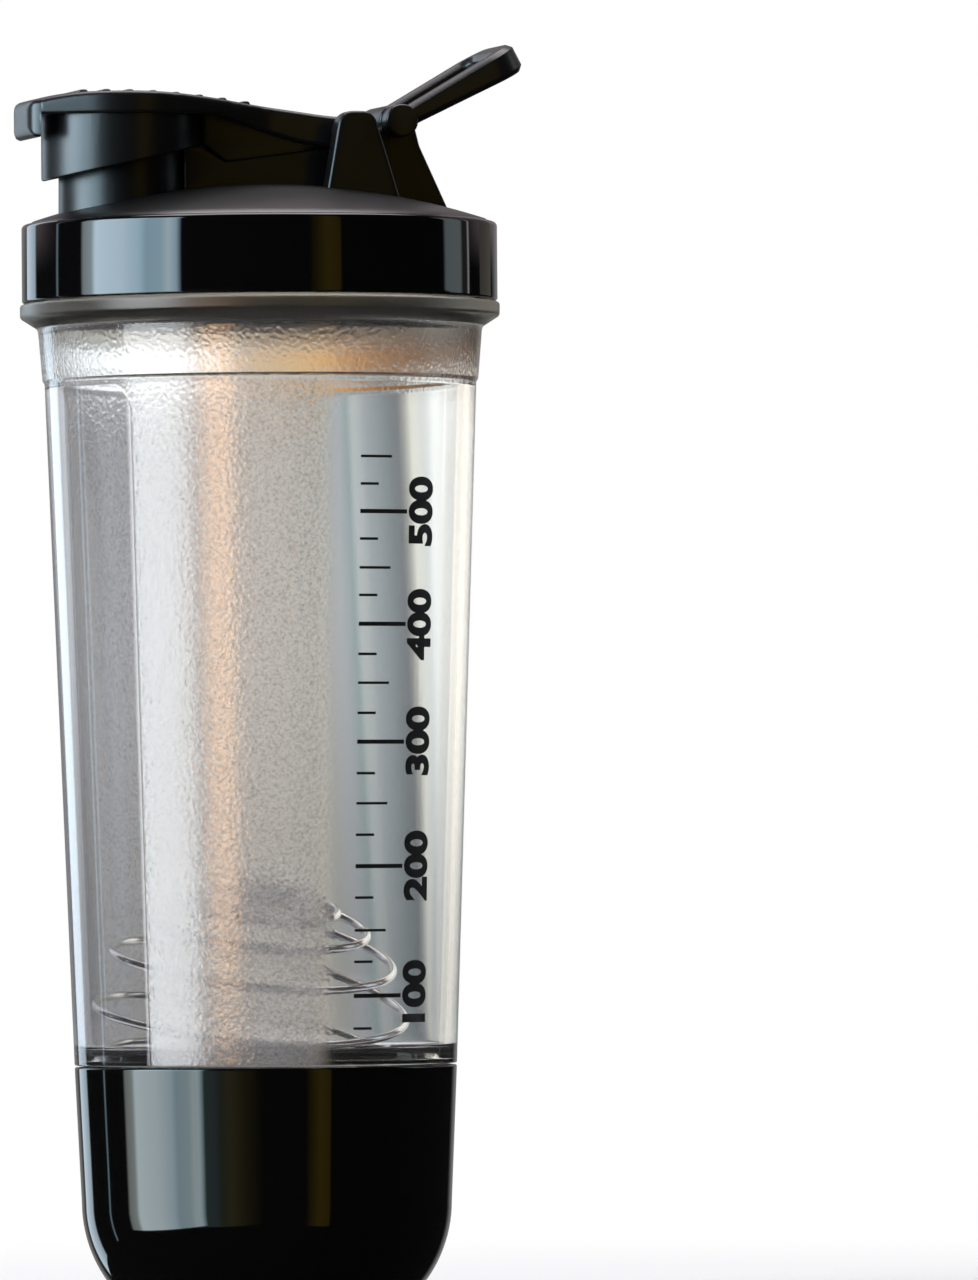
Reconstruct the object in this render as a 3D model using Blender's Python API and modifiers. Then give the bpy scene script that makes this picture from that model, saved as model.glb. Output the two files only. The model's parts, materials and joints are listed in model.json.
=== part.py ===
"""Protein shaker bottle: clear body, screw-on cup, screw lid with flip cap and carry loop, wire whisk ball.

Run with: blender --background --python part.py

The origin is the centre of the flat face it stands on. +Z is up along the bottle's axis, the spout points
to -X and the carry loop to +X. Sizes are in millimetres and become metres through MM.
"""

import math

import bmesh
import bpy
from mathutils import Matrix, Vector

MM = 0.001
ROUND_STEPS = 48
SMALL_STEPS = 32
GAP = 0.3

# Driving dimensions: heights along the bottle's axis.
CUP_RIM_Z = 46.6
BODY_BOTTOM_Z = CUP_RIM_Z + GAP
SPIGOT_BOTTOM_Z = 28.5
BODY_FLOOR_Z = 30.7
SHOULDER_Z = 50.4
LEDGE_Z = 178.7
FLANGE_Z = 193.9
NECK_RIM_Z = 206.5
COLLAR_TOP_Z = 209.4
DOME_TOP_Z = 216.9

# Driving dimensions: outer radii.
CUP_CORNER_R = 35.75
JOINT_R = 36.95
LEDGE_R = 42.0
SHOULDER_R = 42.9
FLANGE_R = 46.4
COLLAR_R = 46.0
WALL = 2.0

# Rounded foot of the cup: a big arc, then a tighter one down to the flat face.
CORNER_BIG_R = 26.0
CORNER_TOP_Z = 20.3
CORNER_TURN_DEG = 36.0

# Neck and lid thread: two starts, rounded beads.
NECK_R = 41.6
COLLAR_IN_R = 44.0
LID_LEAD = 10.0
LID_BEAD_R = 1.5
LID_THREAD_Z = 197.5

# Storage cup thread: two starts, rounded beads.
SPIGOT_R = 32.4
SPIGOT_IN_R = 30.8
CUP_IN_R = 34.8
CUP_LEAD = 8.0
CUP_BEAD_R = 1.4
CUP_THREAD_Z = 37.4
THREAD_SWEEP = 200.0

# Lid furniture. It starts at FURNITURE_FOOT_Z, inside the dome's wall.
FURNITURE_FOOT_Z = 212.2
DOME_RIM_R = 44.5
DOME_RIM_Z = COLLAR_TOP_Z + 0.3
SPOUT_X = -27.4
SPOUT_R = 12.1
SPOUT_BORE_R = 9.7
SPOUT_TOP_Z = 227.2
CAP_PIN_X = 15.2
CAP_PIN_Z = 226.8
LOOP_PIN_X = 25.5
LOOP_PIN_Z = 228.9
PIN_R = 1.5
PIN_BORE_R = 1.59
TOWER_IN_Y = 12.5
TOWER_OUT_Y = 17.0
BRACKET_Y = 8.0
LOOP_LEG_IN_Y = BRACKET_Y + 0.4
LOOP_LEG_OUT_Y = BRACKET_Y + 4.6
LOOP_REST_DEG = 28.0

# Flip cap.
CAP_DISC_R = 16.8
CAP_ARM_Y = 9.5
KNUCKLE_Y = TOWER_IN_Y - 0.4
CAP_KNUCKLE_R = 3.2
CAP_UNDER_Z = 229.8
SKIRT_R = 15.5
SKIRT_IN_R = 13.5
LIP_Y = 8.5
LIP_END_X = -47.2
LIP_CORNER_R = 3.0
LIP_TANGENT_DEG = 123.2

# Whisk ball: one steel wire wound as a ball, lying a little tilted on the body's floor.
WIRE_R = 0.82
BALL_R = 30.2
BALL_HALF_H = 25.0
BALL_END_POLAR = 0.15
BALL_TILT_DEG = 14.0
BALL_LEAN_DEG = 6.0
BALL_SHIFT_X = -2.4
BALL_SHIFT_Y = 2.4
WIDE_WINDING = 13.5
END_WINDING = 16.0


# ---------------------------------------------------------------- helpers


def clear_scene():
    for obj in list(bpy.data.objects):
        bpy.data.objects.remove(obj)


def new_collection(name):
    made = bpy.data.collections.new(name)
    bpy.context.scene.collection.children.link(made)
    return made


def material(name, colour, roughness, metallic=0.0, transmission=0.0):
    made = bpy.data.materials.new(name)
    made.use_nodes = True
    shader = made.node_tree.nodes["Principled BSDF"]
    shader.inputs["Base Color"].default_value = (*colour, 1.0)
    shader.inputs["Roughness"].default_value = roughness
    shader.inputs["Metallic"].default_value = metallic
    shader.inputs["Transmission Weight"].default_value = transmission
    return made


def add_object(name, data, collection, finish=None):
    obj = bpy.data.objects.new(name, data)
    collection.objects.link(obj)
    if finish:
        data.materials.append(finish)
    return obj


def as_helper(obj):
    """A cutter or a shape that is joined to a part: kept, but never a part itself."""
    obj.hide_render = True
    obj.display_type = "WIRE"
    return obj


def smooth(mesh, angle=35.0):
    mesh.shade_smooth()
    mesh.set_sharp_from_angle(angle=math.radians(angle))


def arc(centre, radius, start_deg, end_deg, count):
    """Points on an arc, both ends included."""
    turn = [math.radians(start_deg + (end_deg - start_deg) * i / count) for i in range(count + 1)]
    return [(centre[0] + radius * math.cos(a), centre[1] + radius * math.sin(a)) for a in turn]


def turned(name, profile, collection, finish=None, steps=ROUND_STEPS, centre=(0.0, 0.0), closed=True):
    """A solid of revolution: profile is (radius, height) points running down the outer side."""
    mesh = bpy.data.meshes.new(name)
    points = [(r * MM, 0.0, z * MM) for r, z in profile]
    edges = [(i, i + 1) for i in range(len(points) - 1)]
    if closed:
        edges.append((len(points) - 1, 0))
    mesh.from_pydata(points, edges, [])
    obj = add_object(name, mesh, collection, finish)
    obj.location = (centre[0] * MM, centre[1] * MM, 0.0)
    screw = obj.modifiers.new("revolve", "SCREW")
    screw.axis = "Z"
    screw.steps = steps
    screw.render_steps = steps
    screw.use_merge_vertices = True
    screw.merge_threshold = 1e-5
    screw.use_smooth_shade = True
    return obj


def mesh_from_curve(curve_obj, name, collection):
    """The curve's evaluated mesh, caps welded, as a new mesh object. The curve is removed."""
    bpy.context.view_layer.update()
    graph = bpy.context.evaluated_depsgraph_get()
    mesh = bpy.data.meshes.new_from_object(curve_obj.evaluated_get(graph))
    mesh.name = name
    work = bmesh.new()
    work.from_mesh(mesh)
    bmesh.ops.remove_doubles(work, verts=work.verts, dist=1e-6)
    bmesh.ops.recalc_face_normals(work, faces=work.faces)
    work.to_mesh(mesh)
    work.free()
    obj = bpy.data.objects.new(name, mesh)
    collection.objects.link(obj)
    obj.matrix_world = curve_obj.matrix_world
    data = curve_obj.data
    bpy.data.objects.remove(curve_obj)
    bpy.data.curves.remove(data)
    return obj


def outline_solid(name, loops, thickness, placement, collection):
    """Flat outlines filled and thickened along their normal. placement carries outline to place."""
    data = bpy.data.curves.new(name, "CURVE")
    data.dimensions = "2D"
    data.fill_mode = "BOTH"
    data.extrude = thickness * MM / 2
    for loop in loops:
        spline = data.splines.new("POLY")
        spline.points.add(len(loop) - 1)
        for point, (x, y) in zip(spline.points, loop):
            point.co = (x * MM, y * MM, 0.0, 1.0)
        spline.use_cyclic_u = True
    curve = bpy.data.objects.new(name + "_outline", data)
    collection.objects.link(curve)
    curve.matrix_world = placement
    return mesh_from_curve(curve, name, collection)


def side_on(y=0.0):
    """Places an (X, Z) outline in the plane at this Y."""
    return Matrix.Translation((0.0, y * MM, 0.0)) @ Matrix.Rotation(math.pi / 2, 4, "X")


def flat_on(z):
    """Places an (X, Y) outline at this height."""
    return Matrix.Translation((0.0, 0.0, z * MM))


def cylinder(name, radius, length, centre, axis, collection, steps=24, finish=None):
    mesh = bpy.data.meshes.new(name)
    work = bmesh.new()
    bmesh.ops.create_cone(
        work,
        cap_ends=True,
        segments=steps,
        radius1=radius * MM,
        radius2=radius * MM,
        depth=length * MM,
    )
    work.to_mesh(mesh)
    work.free()
    smooth(mesh)
    obj = add_object(name, mesh, collection, finish)
    obj.rotation_mode = "QUATERNION"
    obj.rotation_quaternion = Vector((0, 0, 1)).rotation_difference(Vector(axis))
    obj.location = [c * MM for c in centre]
    return obj


def boolean(obj, other, operation):
    modifier = obj.modifiers.new(operation.lower() + "_" + other.name, "BOOLEAN")
    modifier.operation = operation
    modifier.object = other
    modifier.solver = "EXACT"


def join(obj, other):
    boolean(obj, as_helper(other), "UNION")


def cut(obj, other):
    boolean(obj, as_helper(other), "DIFFERENCE")


def bead_thread(name, radius, bead_r, lead, start_z, collection, starts=2, steps=28):
    """Rounded helical beads, one for each start, that run out to nothing at both ends."""
    data = bpy.data.curves.new(name, "CURVE")
    data.dimensions = "3D"
    data.bevel_depth = bead_r * MM
    data.bevel_resolution = 1
    data.use_fill_caps = True
    for start in range(starts):
        spline = data.splines.new("POLY")
        spline.points.add(steps)
        for i, point in enumerate(spline.points):
            sweep = THREAD_SWEEP * i / steps
            angle = math.radians(sweep + 360.0 * start / starts)
            height = start_z + lead * sweep / 360.0
            point.co = (radius * math.cos(angle) * MM, radius * math.sin(angle) * MM, height * MM, 1.0)
            point.radius = min(1.0, 0.35 + 0.22 * min(i, steps - i))
    curve = bpy.data.objects.new(name + "_path", data)
    collection.objects.link(curve)
    return mesh_from_curve(curve, name, collection)


# ---------------------------------------------------------------- parts


def storage_cup(parts, helpers, finish):
    """The black cup that screws up under the body: inner thread at its mouth, rounded foot."""
    floor = 2.2
    outside = arc((CUP_CORNER_R - CORNER_BIG_R, CORNER_TOP_Z), CORNER_BIG_R, 0.0, -CORNER_TURN_DEG, 5)
    turn = math.radians(CORNER_TURN_DEG)
    knee_r = CUP_CORNER_R - CORNER_BIG_R * (1 - math.cos(turn))
    knee_z = CORNER_TOP_Z - CORNER_BIG_R * math.sin(turn)
    foot_arc_r = knee_z / (1 - math.sin(turn))
    foot_r = knee_r - foot_arc_r * math.cos(turn)
    outside += arc((foot_r, foot_arc_r), foot_arc_r, -CORNER_TURN_DEG, -90.0, 4)[1:]
    corner_in = 15.0
    inside_r = CUP_CORNER_R - WALL
    inside = [(0.0, floor)]
    inside += arc((inside_r - corner_in, floor + corner_in), corner_in, -90.0, 0.0, 6)
    step_r, step_z = CUP_IN_R + 1.2, CUP_RIM_Z - 1.4
    rim = [(CUP_IN_R, CUP_RIM_Z - 12.0), (CUP_IN_R, step_z), (step_r, step_z), (step_r, CUP_RIM_Z)]
    rim += [(JOINT_R, CUP_RIM_Z)]
    profile = inside + rim + outside + [(0.0, 0.0)]
    cup = turned("storage_cup", profile, parts, finish, closed=False)
    join(
        cup,
        bead_thread("cup_thread", CUP_IN_R, CUP_BEAD_R, CUP_LEAD, CUP_THREAD_Z + CUP_LEAD / 4, helpers),
    )
    return cup


def storage_seal_ring(parts, finish):
    """Silicone ring in the step of the cup's mouth, squeezed under the body's shoulder."""
    inner, outer = CUP_IN_R - 0.4, CUP_IN_R + 0.9
    low, high = CUP_RIM_Z - 1.1, CUP_RIM_Z
    section = [(outer, high), (outer, low), (inner + 0.3, low), (inner, low + 0.3), (inner, high)]
    return turned("storage_seal_ring", section, parts, finish)


def bottle_body(parts, helpers, finish):
    """Clear body: threaded neck, flange under the lid, a ledge, the long taper, a threaded spigot below."""
    neck_in = 39.6
    corner = 3.0
    bottom_in = JOINT_R + 0.1 - WALL
    inside = [(0.0, BODY_FLOOR_Z)]
    inside += arc((SPIGOT_IN_R - corner, BODY_FLOOR_Z + corner), corner, -90.0, 0.0, 4)
    inside += [
        (SPIGOT_IN_R, BODY_BOTTOM_Z - 0.6),
        (bottom_in - 0.4, SHOULDER_Z),
        (bottom_in, SHOULDER_Z + 1.2),
        (LEDGE_R - WALL - 0.4, LEDGE_Z - 1.0),
        (LEDGE_R - WALL, LEDGE_Z + 0.6),
        (SHOULDER_R - WALL - 0.1, FLANGE_Z - 5.4),
        (neck_in + 0.2, FLANGE_Z - 1.2),
        (neck_in, FLANGE_Z + 1.0),
        (neck_in, NECK_RIM_Z - 0.6),
        (neck_in + 0.6, NECK_RIM_Z),
    ]
    outside = [
        (NECK_R - 0.5, NECK_RIM_Z),
        (NECK_R, NECK_RIM_Z - 0.6),
        (NECK_R, FLANGE_Z),
        (FLANGE_R - 0.5, FLANGE_Z),
        (FLANGE_R, FLANGE_Z - 0.5),
        (FLANGE_R, FLANGE_Z - 2.0),
        (FLANGE_R - 0.9, FLANGE_Z - 3.0),
        (SHOULDER_R + 0.3, FLANGE_Z - 4.6),
        (SHOULDER_R, FLANGE_Z - 5.4),
        (LEDGE_R + 0.15, LEDGE_Z + 0.4),
        (LEDGE_R - 0.25, LEDGE_Z - 0.2),
        (JOINT_R, BODY_BOTTOM_Z + 0.3),
        (JOINT_R - 0.3, BODY_BOTTOM_Z),
        (SPIGOT_R, BODY_BOTTOM_Z),
        (SPIGOT_R, SPIGOT_BOTTOM_Z + 0.6),
        (SPIGOT_R - 0.6, SPIGOT_BOTTOM_Z),
        (0.0, SPIGOT_BOTTOM_Z),
    ]
    body = turned("bottle_body", inside + outside, parts, finish, closed=False)
    join(body, bead_thread("neck_thread", NECK_R, LID_BEAD_R, LID_LEAD, LID_THREAD_Z, helpers))
    join(body, bead_thread("spigot_thread", SPIGOT_R, CUP_BEAD_R, CUP_LEAD, CUP_THREAD_Z, helpers))
    return body


def dome_arc(inset, from_r, to_r, count):
    """Points on the lid's dome, or on its underside at this inset, between two radii."""
    rise = DOME_TOP_Z - DOME_RIM_Z
    ball_r = (DOME_RIM_R**2 + rise**2) / (2 * rise)
    centre_z = DOME_TOP_Z - ball_r
    radii = [from_r + (to_r - from_r) * i / count for i in range(count + 1)]
    return [(r, centre_z + math.sqrt((ball_r - inset) ** 2 - r * r)) for r in radii]


def lid_shell(parts, helpers, finish):
    """Screw lid: collar, dome with spout, plinth under the cap's arm, hinge towers, bracket for the loop."""
    dome_wall = 2.2
    plug_in, plug_out, plug_bottom = 37.6, 39.1, 201.7
    ceiling = NECK_RIM_Z + 2.0
    collar_bottom = FLANGE_Z + GAP
    edge = 1.2
    profile = dome_arc(0.0, 0.0, DOME_RIM_R, 8)
    profile += arc((COLLAR_R - edge, COLLAR_TOP_Z - edge), edge, 80.0, 0.0, 3)
    profile += [
        (COLLAR_R, collar_bottom + 0.4),
        (COLLAR_R - 0.4, collar_bottom),
        (COLLAR_IN_R + 0.3, collar_bottom),
        (COLLAR_IN_R, collar_bottom + 0.5),
        (COLLAR_IN_R, ceiling),
        (plug_out, ceiling),
        (plug_out, plug_bottom + 1.0),
        (plug_out - 0.5, plug_bottom),
        (plug_in, plug_bottom),
    ]
    profile += dome_arc(dome_wall, plug_in, 0.0, 6)
    lid = turned("lid_shell", profile, parts, finish, closed=False)
    join(
        lid,
        bead_thread("lid_thread", COLLAR_IN_R, LID_BEAD_R, LID_LEAD, LID_THREAD_Z - LID_LEAD / 4, helpers),
    )

    spout_foot = 210.2
    spout_mid = (spout_foot + SPOUT_TOP_Z) / 2
    spout = cylinder(
        "spout",
        SPOUT_R,
        SPOUT_TOP_Z - spout_foot,
        (SPOUT_X, 0, spout_mid),
        (0, 0, 1),
        helpers,
        steps=SMALL_STEPS,
    )
    join(lid, spout)

    plinth_y = 6.5
    plinth = [(-17.0, FURNITURE_FOOT_Z), (-17.0, 222.9), (-13.8, 222.9), (-9.2, 219.9)]
    plinth += [(-7.6, 220.0), (9.0, 222.2), (12.4, 222.2), (12.4, FURNITURE_FOOT_Z)]
    join(lid, outline_solid("plinth", [plinth], 2 * plinth_y, side_on(), helpers))

    tower = [(8.6, FURNITURE_FOOT_Z), (11.3, 228.4), (12.0, 229.7), (13.4, 230.3)]
    tower += [(17.0, 230.4), (18.3, 229.7), (19.0, 228.2), (24.2, FURNITURE_FOOT_Z)]
    thick = TOWER_OUT_Y - TOWER_IN_Y
    for side in (-1, 1):
        middle = side * (TOWER_IN_Y + TOWER_OUT_Y) / 2
        join(lid, outline_solid(f"tower_{side}", [tower], thick, side_on(middle), helpers))

    eye_r = 3.4
    bracket = [(20.6, FURNITURE_FOOT_Z), (21.6, 225.8)]
    bracket += arc((LOOP_PIN_X, LOOP_PIN_Z), eye_r, 200.0, 10.0, 8)
    bracket += [(30.6, 224.2), (36.4, 210.8), (30.0, 210.8)]
    join(lid, outline_solid("loop_bracket", [bracket], 2 * BRACKET_Y, side_on(), helpers))

    bore_foot = ceiling - 1.5
    bore_length = SPOUT_TOP_Z + 5.0 - bore_foot
    cut(
        lid,
        cylinder(
            "spout_bore",
            SPOUT_BORE_R,
            bore_length,
            (SPOUT_X, 0, bore_foot + bore_length / 2),
            (0, 0, 1),
            helpers,
            steps=SMALL_STEPS,
        ),
    )
    pin_bore_end = TOWER_OUT_Y + 3.0
    pin_bore_start = -(TOWER_OUT_Y - 1.2)
    cut(
        lid,
        cylinder(
            "cap_pin_bore",
            PIN_BORE_R,
            pin_bore_end - pin_bore_start,
            (CAP_PIN_X, (pin_bore_end + pin_bore_start) / 2, CAP_PIN_Z),
            (0, 1, 0),
            helpers,
        ),
    )
    cut(
        lid,
        cylinder(
            "loop_pin_bore", PIN_BORE_R, 4 * BRACKET_Y, (LOOP_PIN_X, 0, LOOP_PIN_Z), (0, 1, 0), helpers
        ),
    )
    return lid


def lid_gasket(parts, finish):
    """Flat silicone ring in the lid's groove, on the neck's rim."""
    low, high = NECK_RIM_Z + GAP, NECK_RIM_Z + 1.7
    inner, outer = 39.5, 43.2
    section = [(outer, high), (outer, low + 0.4), (outer - 0.5, low), (inner, low), (inner, high)]
    return turned("lid_gasket", section, parts, finish)


def cap_plan():
    """Outline of the flip cap from above: disc over the spout, tapered lip in front, arm to the hinge."""
    near = arc((SPOUT_X, 0.0), CAP_DISC_R, -LIP_TANGENT_DEG, -70.0, 9)
    half = [(LIP_END_X - 0.3, -LIP_Y + 1.6 * LIP_CORNER_R)]
    lip_corner = (LIP_END_X + LIP_CORNER_R, -LIP_Y + LIP_CORNER_R)
    half += arc(lip_corner, LIP_CORNER_R, -170.0, -LIP_TANGENT_DEG, 3)
    half += near + [(0.0, -CAP_ARM_Y), (CAP_PIN_X - 5.0, -CAP_ARM_Y), (CAP_PIN_X - 2.6, -KNUCKLE_Y)]
    half += [(CAP_PIN_X + 8.0, -KNUCKLE_Y)]
    return half + [(x, -y) for x, y in reversed(half)]


def cap_side():
    """Outline of the flip cap seen from the side: crowned top, lip turned down, round knuckle on the pin."""
    top = [(LIP_END_X - 0.6, 231.8), (-46.2, 233.1), (-40.0, 234.0), (-32.0, 234.4), (-21.7, 234.2)]
    top += [(-12.0, 233.3), (-4.0, 232.2), (5.0, 230.9)]
    knuckle = arc((CAP_PIN_X, CAP_PIN_Z), CAP_KNUCKLE_R, 85.0, -90.0, 8)
    under = [(8.0, 224.6), (-3.0, 227.2), (-10.0, CAP_UNDER_Z), (-42.0, CAP_UNDER_Z), (-42.0, 225.8)]
    under += [(-46.0, 225.4), (LIP_END_X - 0.6, 226.6)]
    return top + knuckle + under


def flip_cap(parts, helpers, finish):
    """Cap: crowned plate, skirt round the spout, keel under the arm, boss for the plug, ribs, knuckle."""
    plate = outline_solid("flip_cap", [cap_plan()], 24.0, flat_on(229.2), parts)
    plate.data.materials.append(finish)
    boolean(plate, as_helper(outline_solid("cap_side", [cap_side()], 60.0, side_on(), helpers)), "INTERSECT")

    skirt_low = 215.2
    skirt_top = CAP_UNDER_Z + 1.0
    ring = [(SKIRT_R, skirt_top), (SKIRT_R, skirt_low), (SKIRT_IN_R, skirt_low), (SKIRT_IN_R, skirt_top)]
    skirt = turned("cap_skirt", ring, helpers, centre=(SPOUT_X, 0.0))
    front_z, slope = 217.3, 0.228
    front_x = SPOUT_X - SKIRT_R
    wedge = [(front_x - 5.0, front_z - 5.0 * slope), (front_x + 40.0, front_z + 40.0 * slope)]
    wedge += [(front_x + 40.0, 201.2), (front_x - 5.0, 201.2)]
    cut(skirt, outline_solid("skirt_slant", [wedge], 60.0, side_on(), helpers))
    join(plate, skirt)

    keel = [(-13.0, 231.2), (-13.0, 224.4), (-9.0, 221.2), (-7.6, 220.6)]
    keel += [(9.0, 222.8), (12.0, 225.2), (12.0, 228.2)]
    join(plate, outline_solid("cap_keel", [keel], 13.0, side_on(), helpers))

    boss_low = 225.6
    join(
        plate,
        cylinder(
            "plug_boss",
            3.0,
            CAP_UNDER_Z + 1.5 - boss_low,
            (SPOUT_X, 0, (CAP_UNDER_Z + 1.5 + boss_low) / 2),
            (0, 0, 1),
            helpers,
            steps=16,
        ),
    )

    rib_pitch, rib_w, rib_count = 4.6, 1.8, 8
    comb = []
    base_x = SPOUT_X - 10.0
    for i in range(rib_count):
        x = base_x + i * rib_pitch
        crown = 234.45 - 0.0036 * (x + 31.0) ** 2
        root, top = crown - 1.4, crown + 0.5
        comb.append([(x, root), (x + rib_w, root), (x + rib_w - 0.4, top), (x + 0.4, top)])
    join(plate, outline_solid("grip_ribs", comb, 2 * 7.0, side_on(), helpers))

    cut(plate, cylinder("knuckle_bore", PIN_BORE_R, 30.0, (CAP_PIN_X, 0, CAP_PIN_Z), (0, 1, 0), helpers))
    return plate


def spout_seal_plug(parts, finish):
    """Soft plug on the cap's boss: flange on the spout's rim, hollow stem inside the spout."""
    stem_r = SPOUT_BORE_R - 0.5
    high, shelf, low = CAP_UNDER_Z - 0.4, SPOUT_TOP_Z + 0.4, 223.7
    section = [
        (SKIRT_IN_R - 0.6, high),
        (SKIRT_IN_R - 0.6, shelf),
        (stem_r, shelf),
        (stem_r, low + 0.8),
        (stem_r - 0.7, low),
        (stem_r - 2.0, low),
        (stem_r - 2.0, shelf - 0.6),
        (3.4, shelf - 0.6),
        (3.4, high),
    ]
    return turned("spout_seal_plug", section, parts, finish, steps=SMALL_STEPS, centre=(SPOUT_X, 0.0))


def carry_loop(parts, helpers, finish):
    """U-shaped loop whose two legs straddle the bracket on the loop pin."""
    leg_in, leg_out = LOOP_LEG_IN_Y, LOOP_LEG_OUT_Y
    reach, opening = 28.0, 23.0
    corner_out, corner_in = 6.0, 3.5
    tail = -5.0
    outer = [(tail, -leg_out)] + arc((reach - corner_out, -leg_out + corner_out), corner_out, -90.0, 0.0, 5)
    outer += arc((reach - corner_out, leg_out - corner_out), corner_out, 0.0, 90.0, 5) + [(tail, leg_out)]
    inner = [(tail, leg_in)] + arc((opening - corner_in, leg_in - corner_in), corner_in, 90.0, 0.0, 4)
    inner += arc((opening - corner_in, -leg_in + corner_in), corner_in, 0.0, -90.0, 4) + [(tail, -leg_in)]
    hinge = Matrix.Translation((LOOP_PIN_X * MM, 0.0, LOOP_PIN_Z * MM))
    tilt = hinge @ Matrix.Rotation(math.radians(-LOOP_REST_DEG), 4, "Y")
    loop = outline_solid("carry_loop", [outer + inner], 12.0, tilt, parts)
    loop.data.materials.append(finish)

    eye_r, neck, root, tip = 3.2, 1.9, 2.5, 2.9
    side = arc((0.0, 0.0), eye_r, 40.0, 320.0, 14)
    side += [(5.0, -neck), (8.5, -root), (reach - 3.0, -tip), (reach - 0.8, -tip + 0.7), (reach + 0.5, -1.2)]
    side += [(reach + 0.5, 1.2), (reach - 0.8, tip - 0.7), (reach - 3.0, tip), (8.5, root), (5.0, neck)]
    upright = tilt @ Matrix.Rotation(math.pi / 2, 4, "X")
    boolean(loop, as_helper(outline_solid("loop_side", [side], 40.0, upright, helpers)), "INTERSECT")
    bore_end = leg_out + 3.0
    bore_start = -(leg_out - 1.2)
    cut(
        loop,
        cylinder(
            "loop_bore",
            PIN_BORE_R,
            bore_end - bore_start,
            (LOOP_PIN_X, (bore_end + bore_start) / 2, LOOP_PIN_Z),
            (0, 1, 0),
            helpers,
        ),
    )
    return loop


def hinge_pin(name, pin, outer_y, parts, finish):
    """A pin in holes that stay closed on the -Y side and open at outer_y."""
    near_end = -(outer_y - 1.6)
    far_end = outer_y - GAP
    middle = (pin[0], (near_end + far_end) / 2, pin[1])
    cylinder(name, PIN_R, far_end - near_end, middle, (0, 1, 0), parts, finish=finish)


def whisk_points(per_turn=18):
    """The wire's centre line. It turns faster near the poles, which packs the end coils."""

    def winding(polar):
        return WIDE_WINDING * polar + END_WINDING * (polar / 2 + math.sin(2 * polar) / 4)

    end = math.pi - BALL_END_POLAR
    sweep = winding(end) - winding(BALL_END_POLAR)
    count = round(per_turn * sweep / (2 * math.pi))
    lean = Matrix.Rotation(math.radians(BALL_LEAN_DEG), 3, "Y")
    tilt = lean @ Matrix.Rotation(math.radians(BALL_TILT_DEG), 3, "X")
    points = []
    polar = BALL_END_POLAR
    for i in range(count + 1):
        angle = sweep * i / count
        ring = BALL_R * math.sin(polar)
        height = -BALL_HALF_H * math.cos(polar)
        points.append(tilt @ Vector((ring * math.cos(angle), ring * math.sin(angle), height)))
        slope = WIDE_WINDING + END_WINDING * math.cos(polar) ** 2
        middle = polar + sweep / count / slope / 2
        polar += sweep / count / (WIDE_WINDING + END_WINDING * math.cos(middle) ** 2)
    rest_z = BODY_FLOOR_Z + GAP + WIRE_R - min(point.z for point in points)
    return [point + Vector((BALL_SHIFT_X, BALL_SHIFT_Y, rest_z)) for point in points]


def whisk_ball(parts, finish):
    """Steel wire wound as a ball: wide coils in the middle, tight ones at both ends."""
    points = whisk_points()
    data = bpy.data.curves.new("whisk_ball", "CURVE")
    data.dimensions = "3D"
    data.bevel_depth = WIRE_R * MM
    data.bevel_resolution = 1
    data.use_fill_caps = True
    spline = data.splines.new("POLY")
    spline.points.add(len(points) - 1)
    for target, point in zip(spline.points, points):
        target.co = (*(point * MM), 1.0)
    return add_object("whisk_ball", data, parts, finish)


def main():
    clear_scene()
    parts = new_collection("protein_shaker")
    helpers = new_collection("helpers")

    gloss_black = material("gloss_black", (0.008, 0.008, 0.010), 0.12)
    satin_black = material("satin_black", (0.015, 0.015, 0.017), 0.38)
    clear = material("clear_plastic", (0.86, 0.87, 0.88), 0.08, transmission=0.9)
    silicone = material("silicone", (0.10, 0.10, 0.11), 0.6)
    steel = material("steel", (0.72, 0.72, 0.73), 0.22, metallic=1.0)
    blackened = material("blackened_steel", (0.05, 0.05, 0.055), 0.3, metallic=1.0)

    storage_cup(parts, helpers, gloss_black)
    storage_seal_ring(parts, silicone)
    bottle_body(parts, helpers, clear)
    lid_shell(parts, helpers, gloss_black)
    lid_gasket(parts, silicone)
    flip_cap(parts, helpers, satin_black)
    spout_seal_plug(parts, silicone)
    carry_loop(parts, helpers, satin_black)
    hinge_pin("cap_hinge_pin", (CAP_PIN_X, CAP_PIN_Z), TOWER_OUT_Y, parts, blackened)
    hinge_pin("loop_hinge_pin", (LOOP_PIN_X, LOOP_PIN_Z), LOOP_LEG_OUT_Y, parts, blackened)
    whisk_ball(parts, steel)


main()
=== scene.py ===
"""Looks of the protein shaker bottle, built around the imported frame.

Every piece is modelled here at full detail over the CAD node it stands for. Lengths are in millimetres and become
metres through MM. +Z is up the bottle's axis, the spout points to -X and the carry loop to +X.
"""

import json
import math

import bmesh
import bpy
from mathutils import Matrix, Vector

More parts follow.
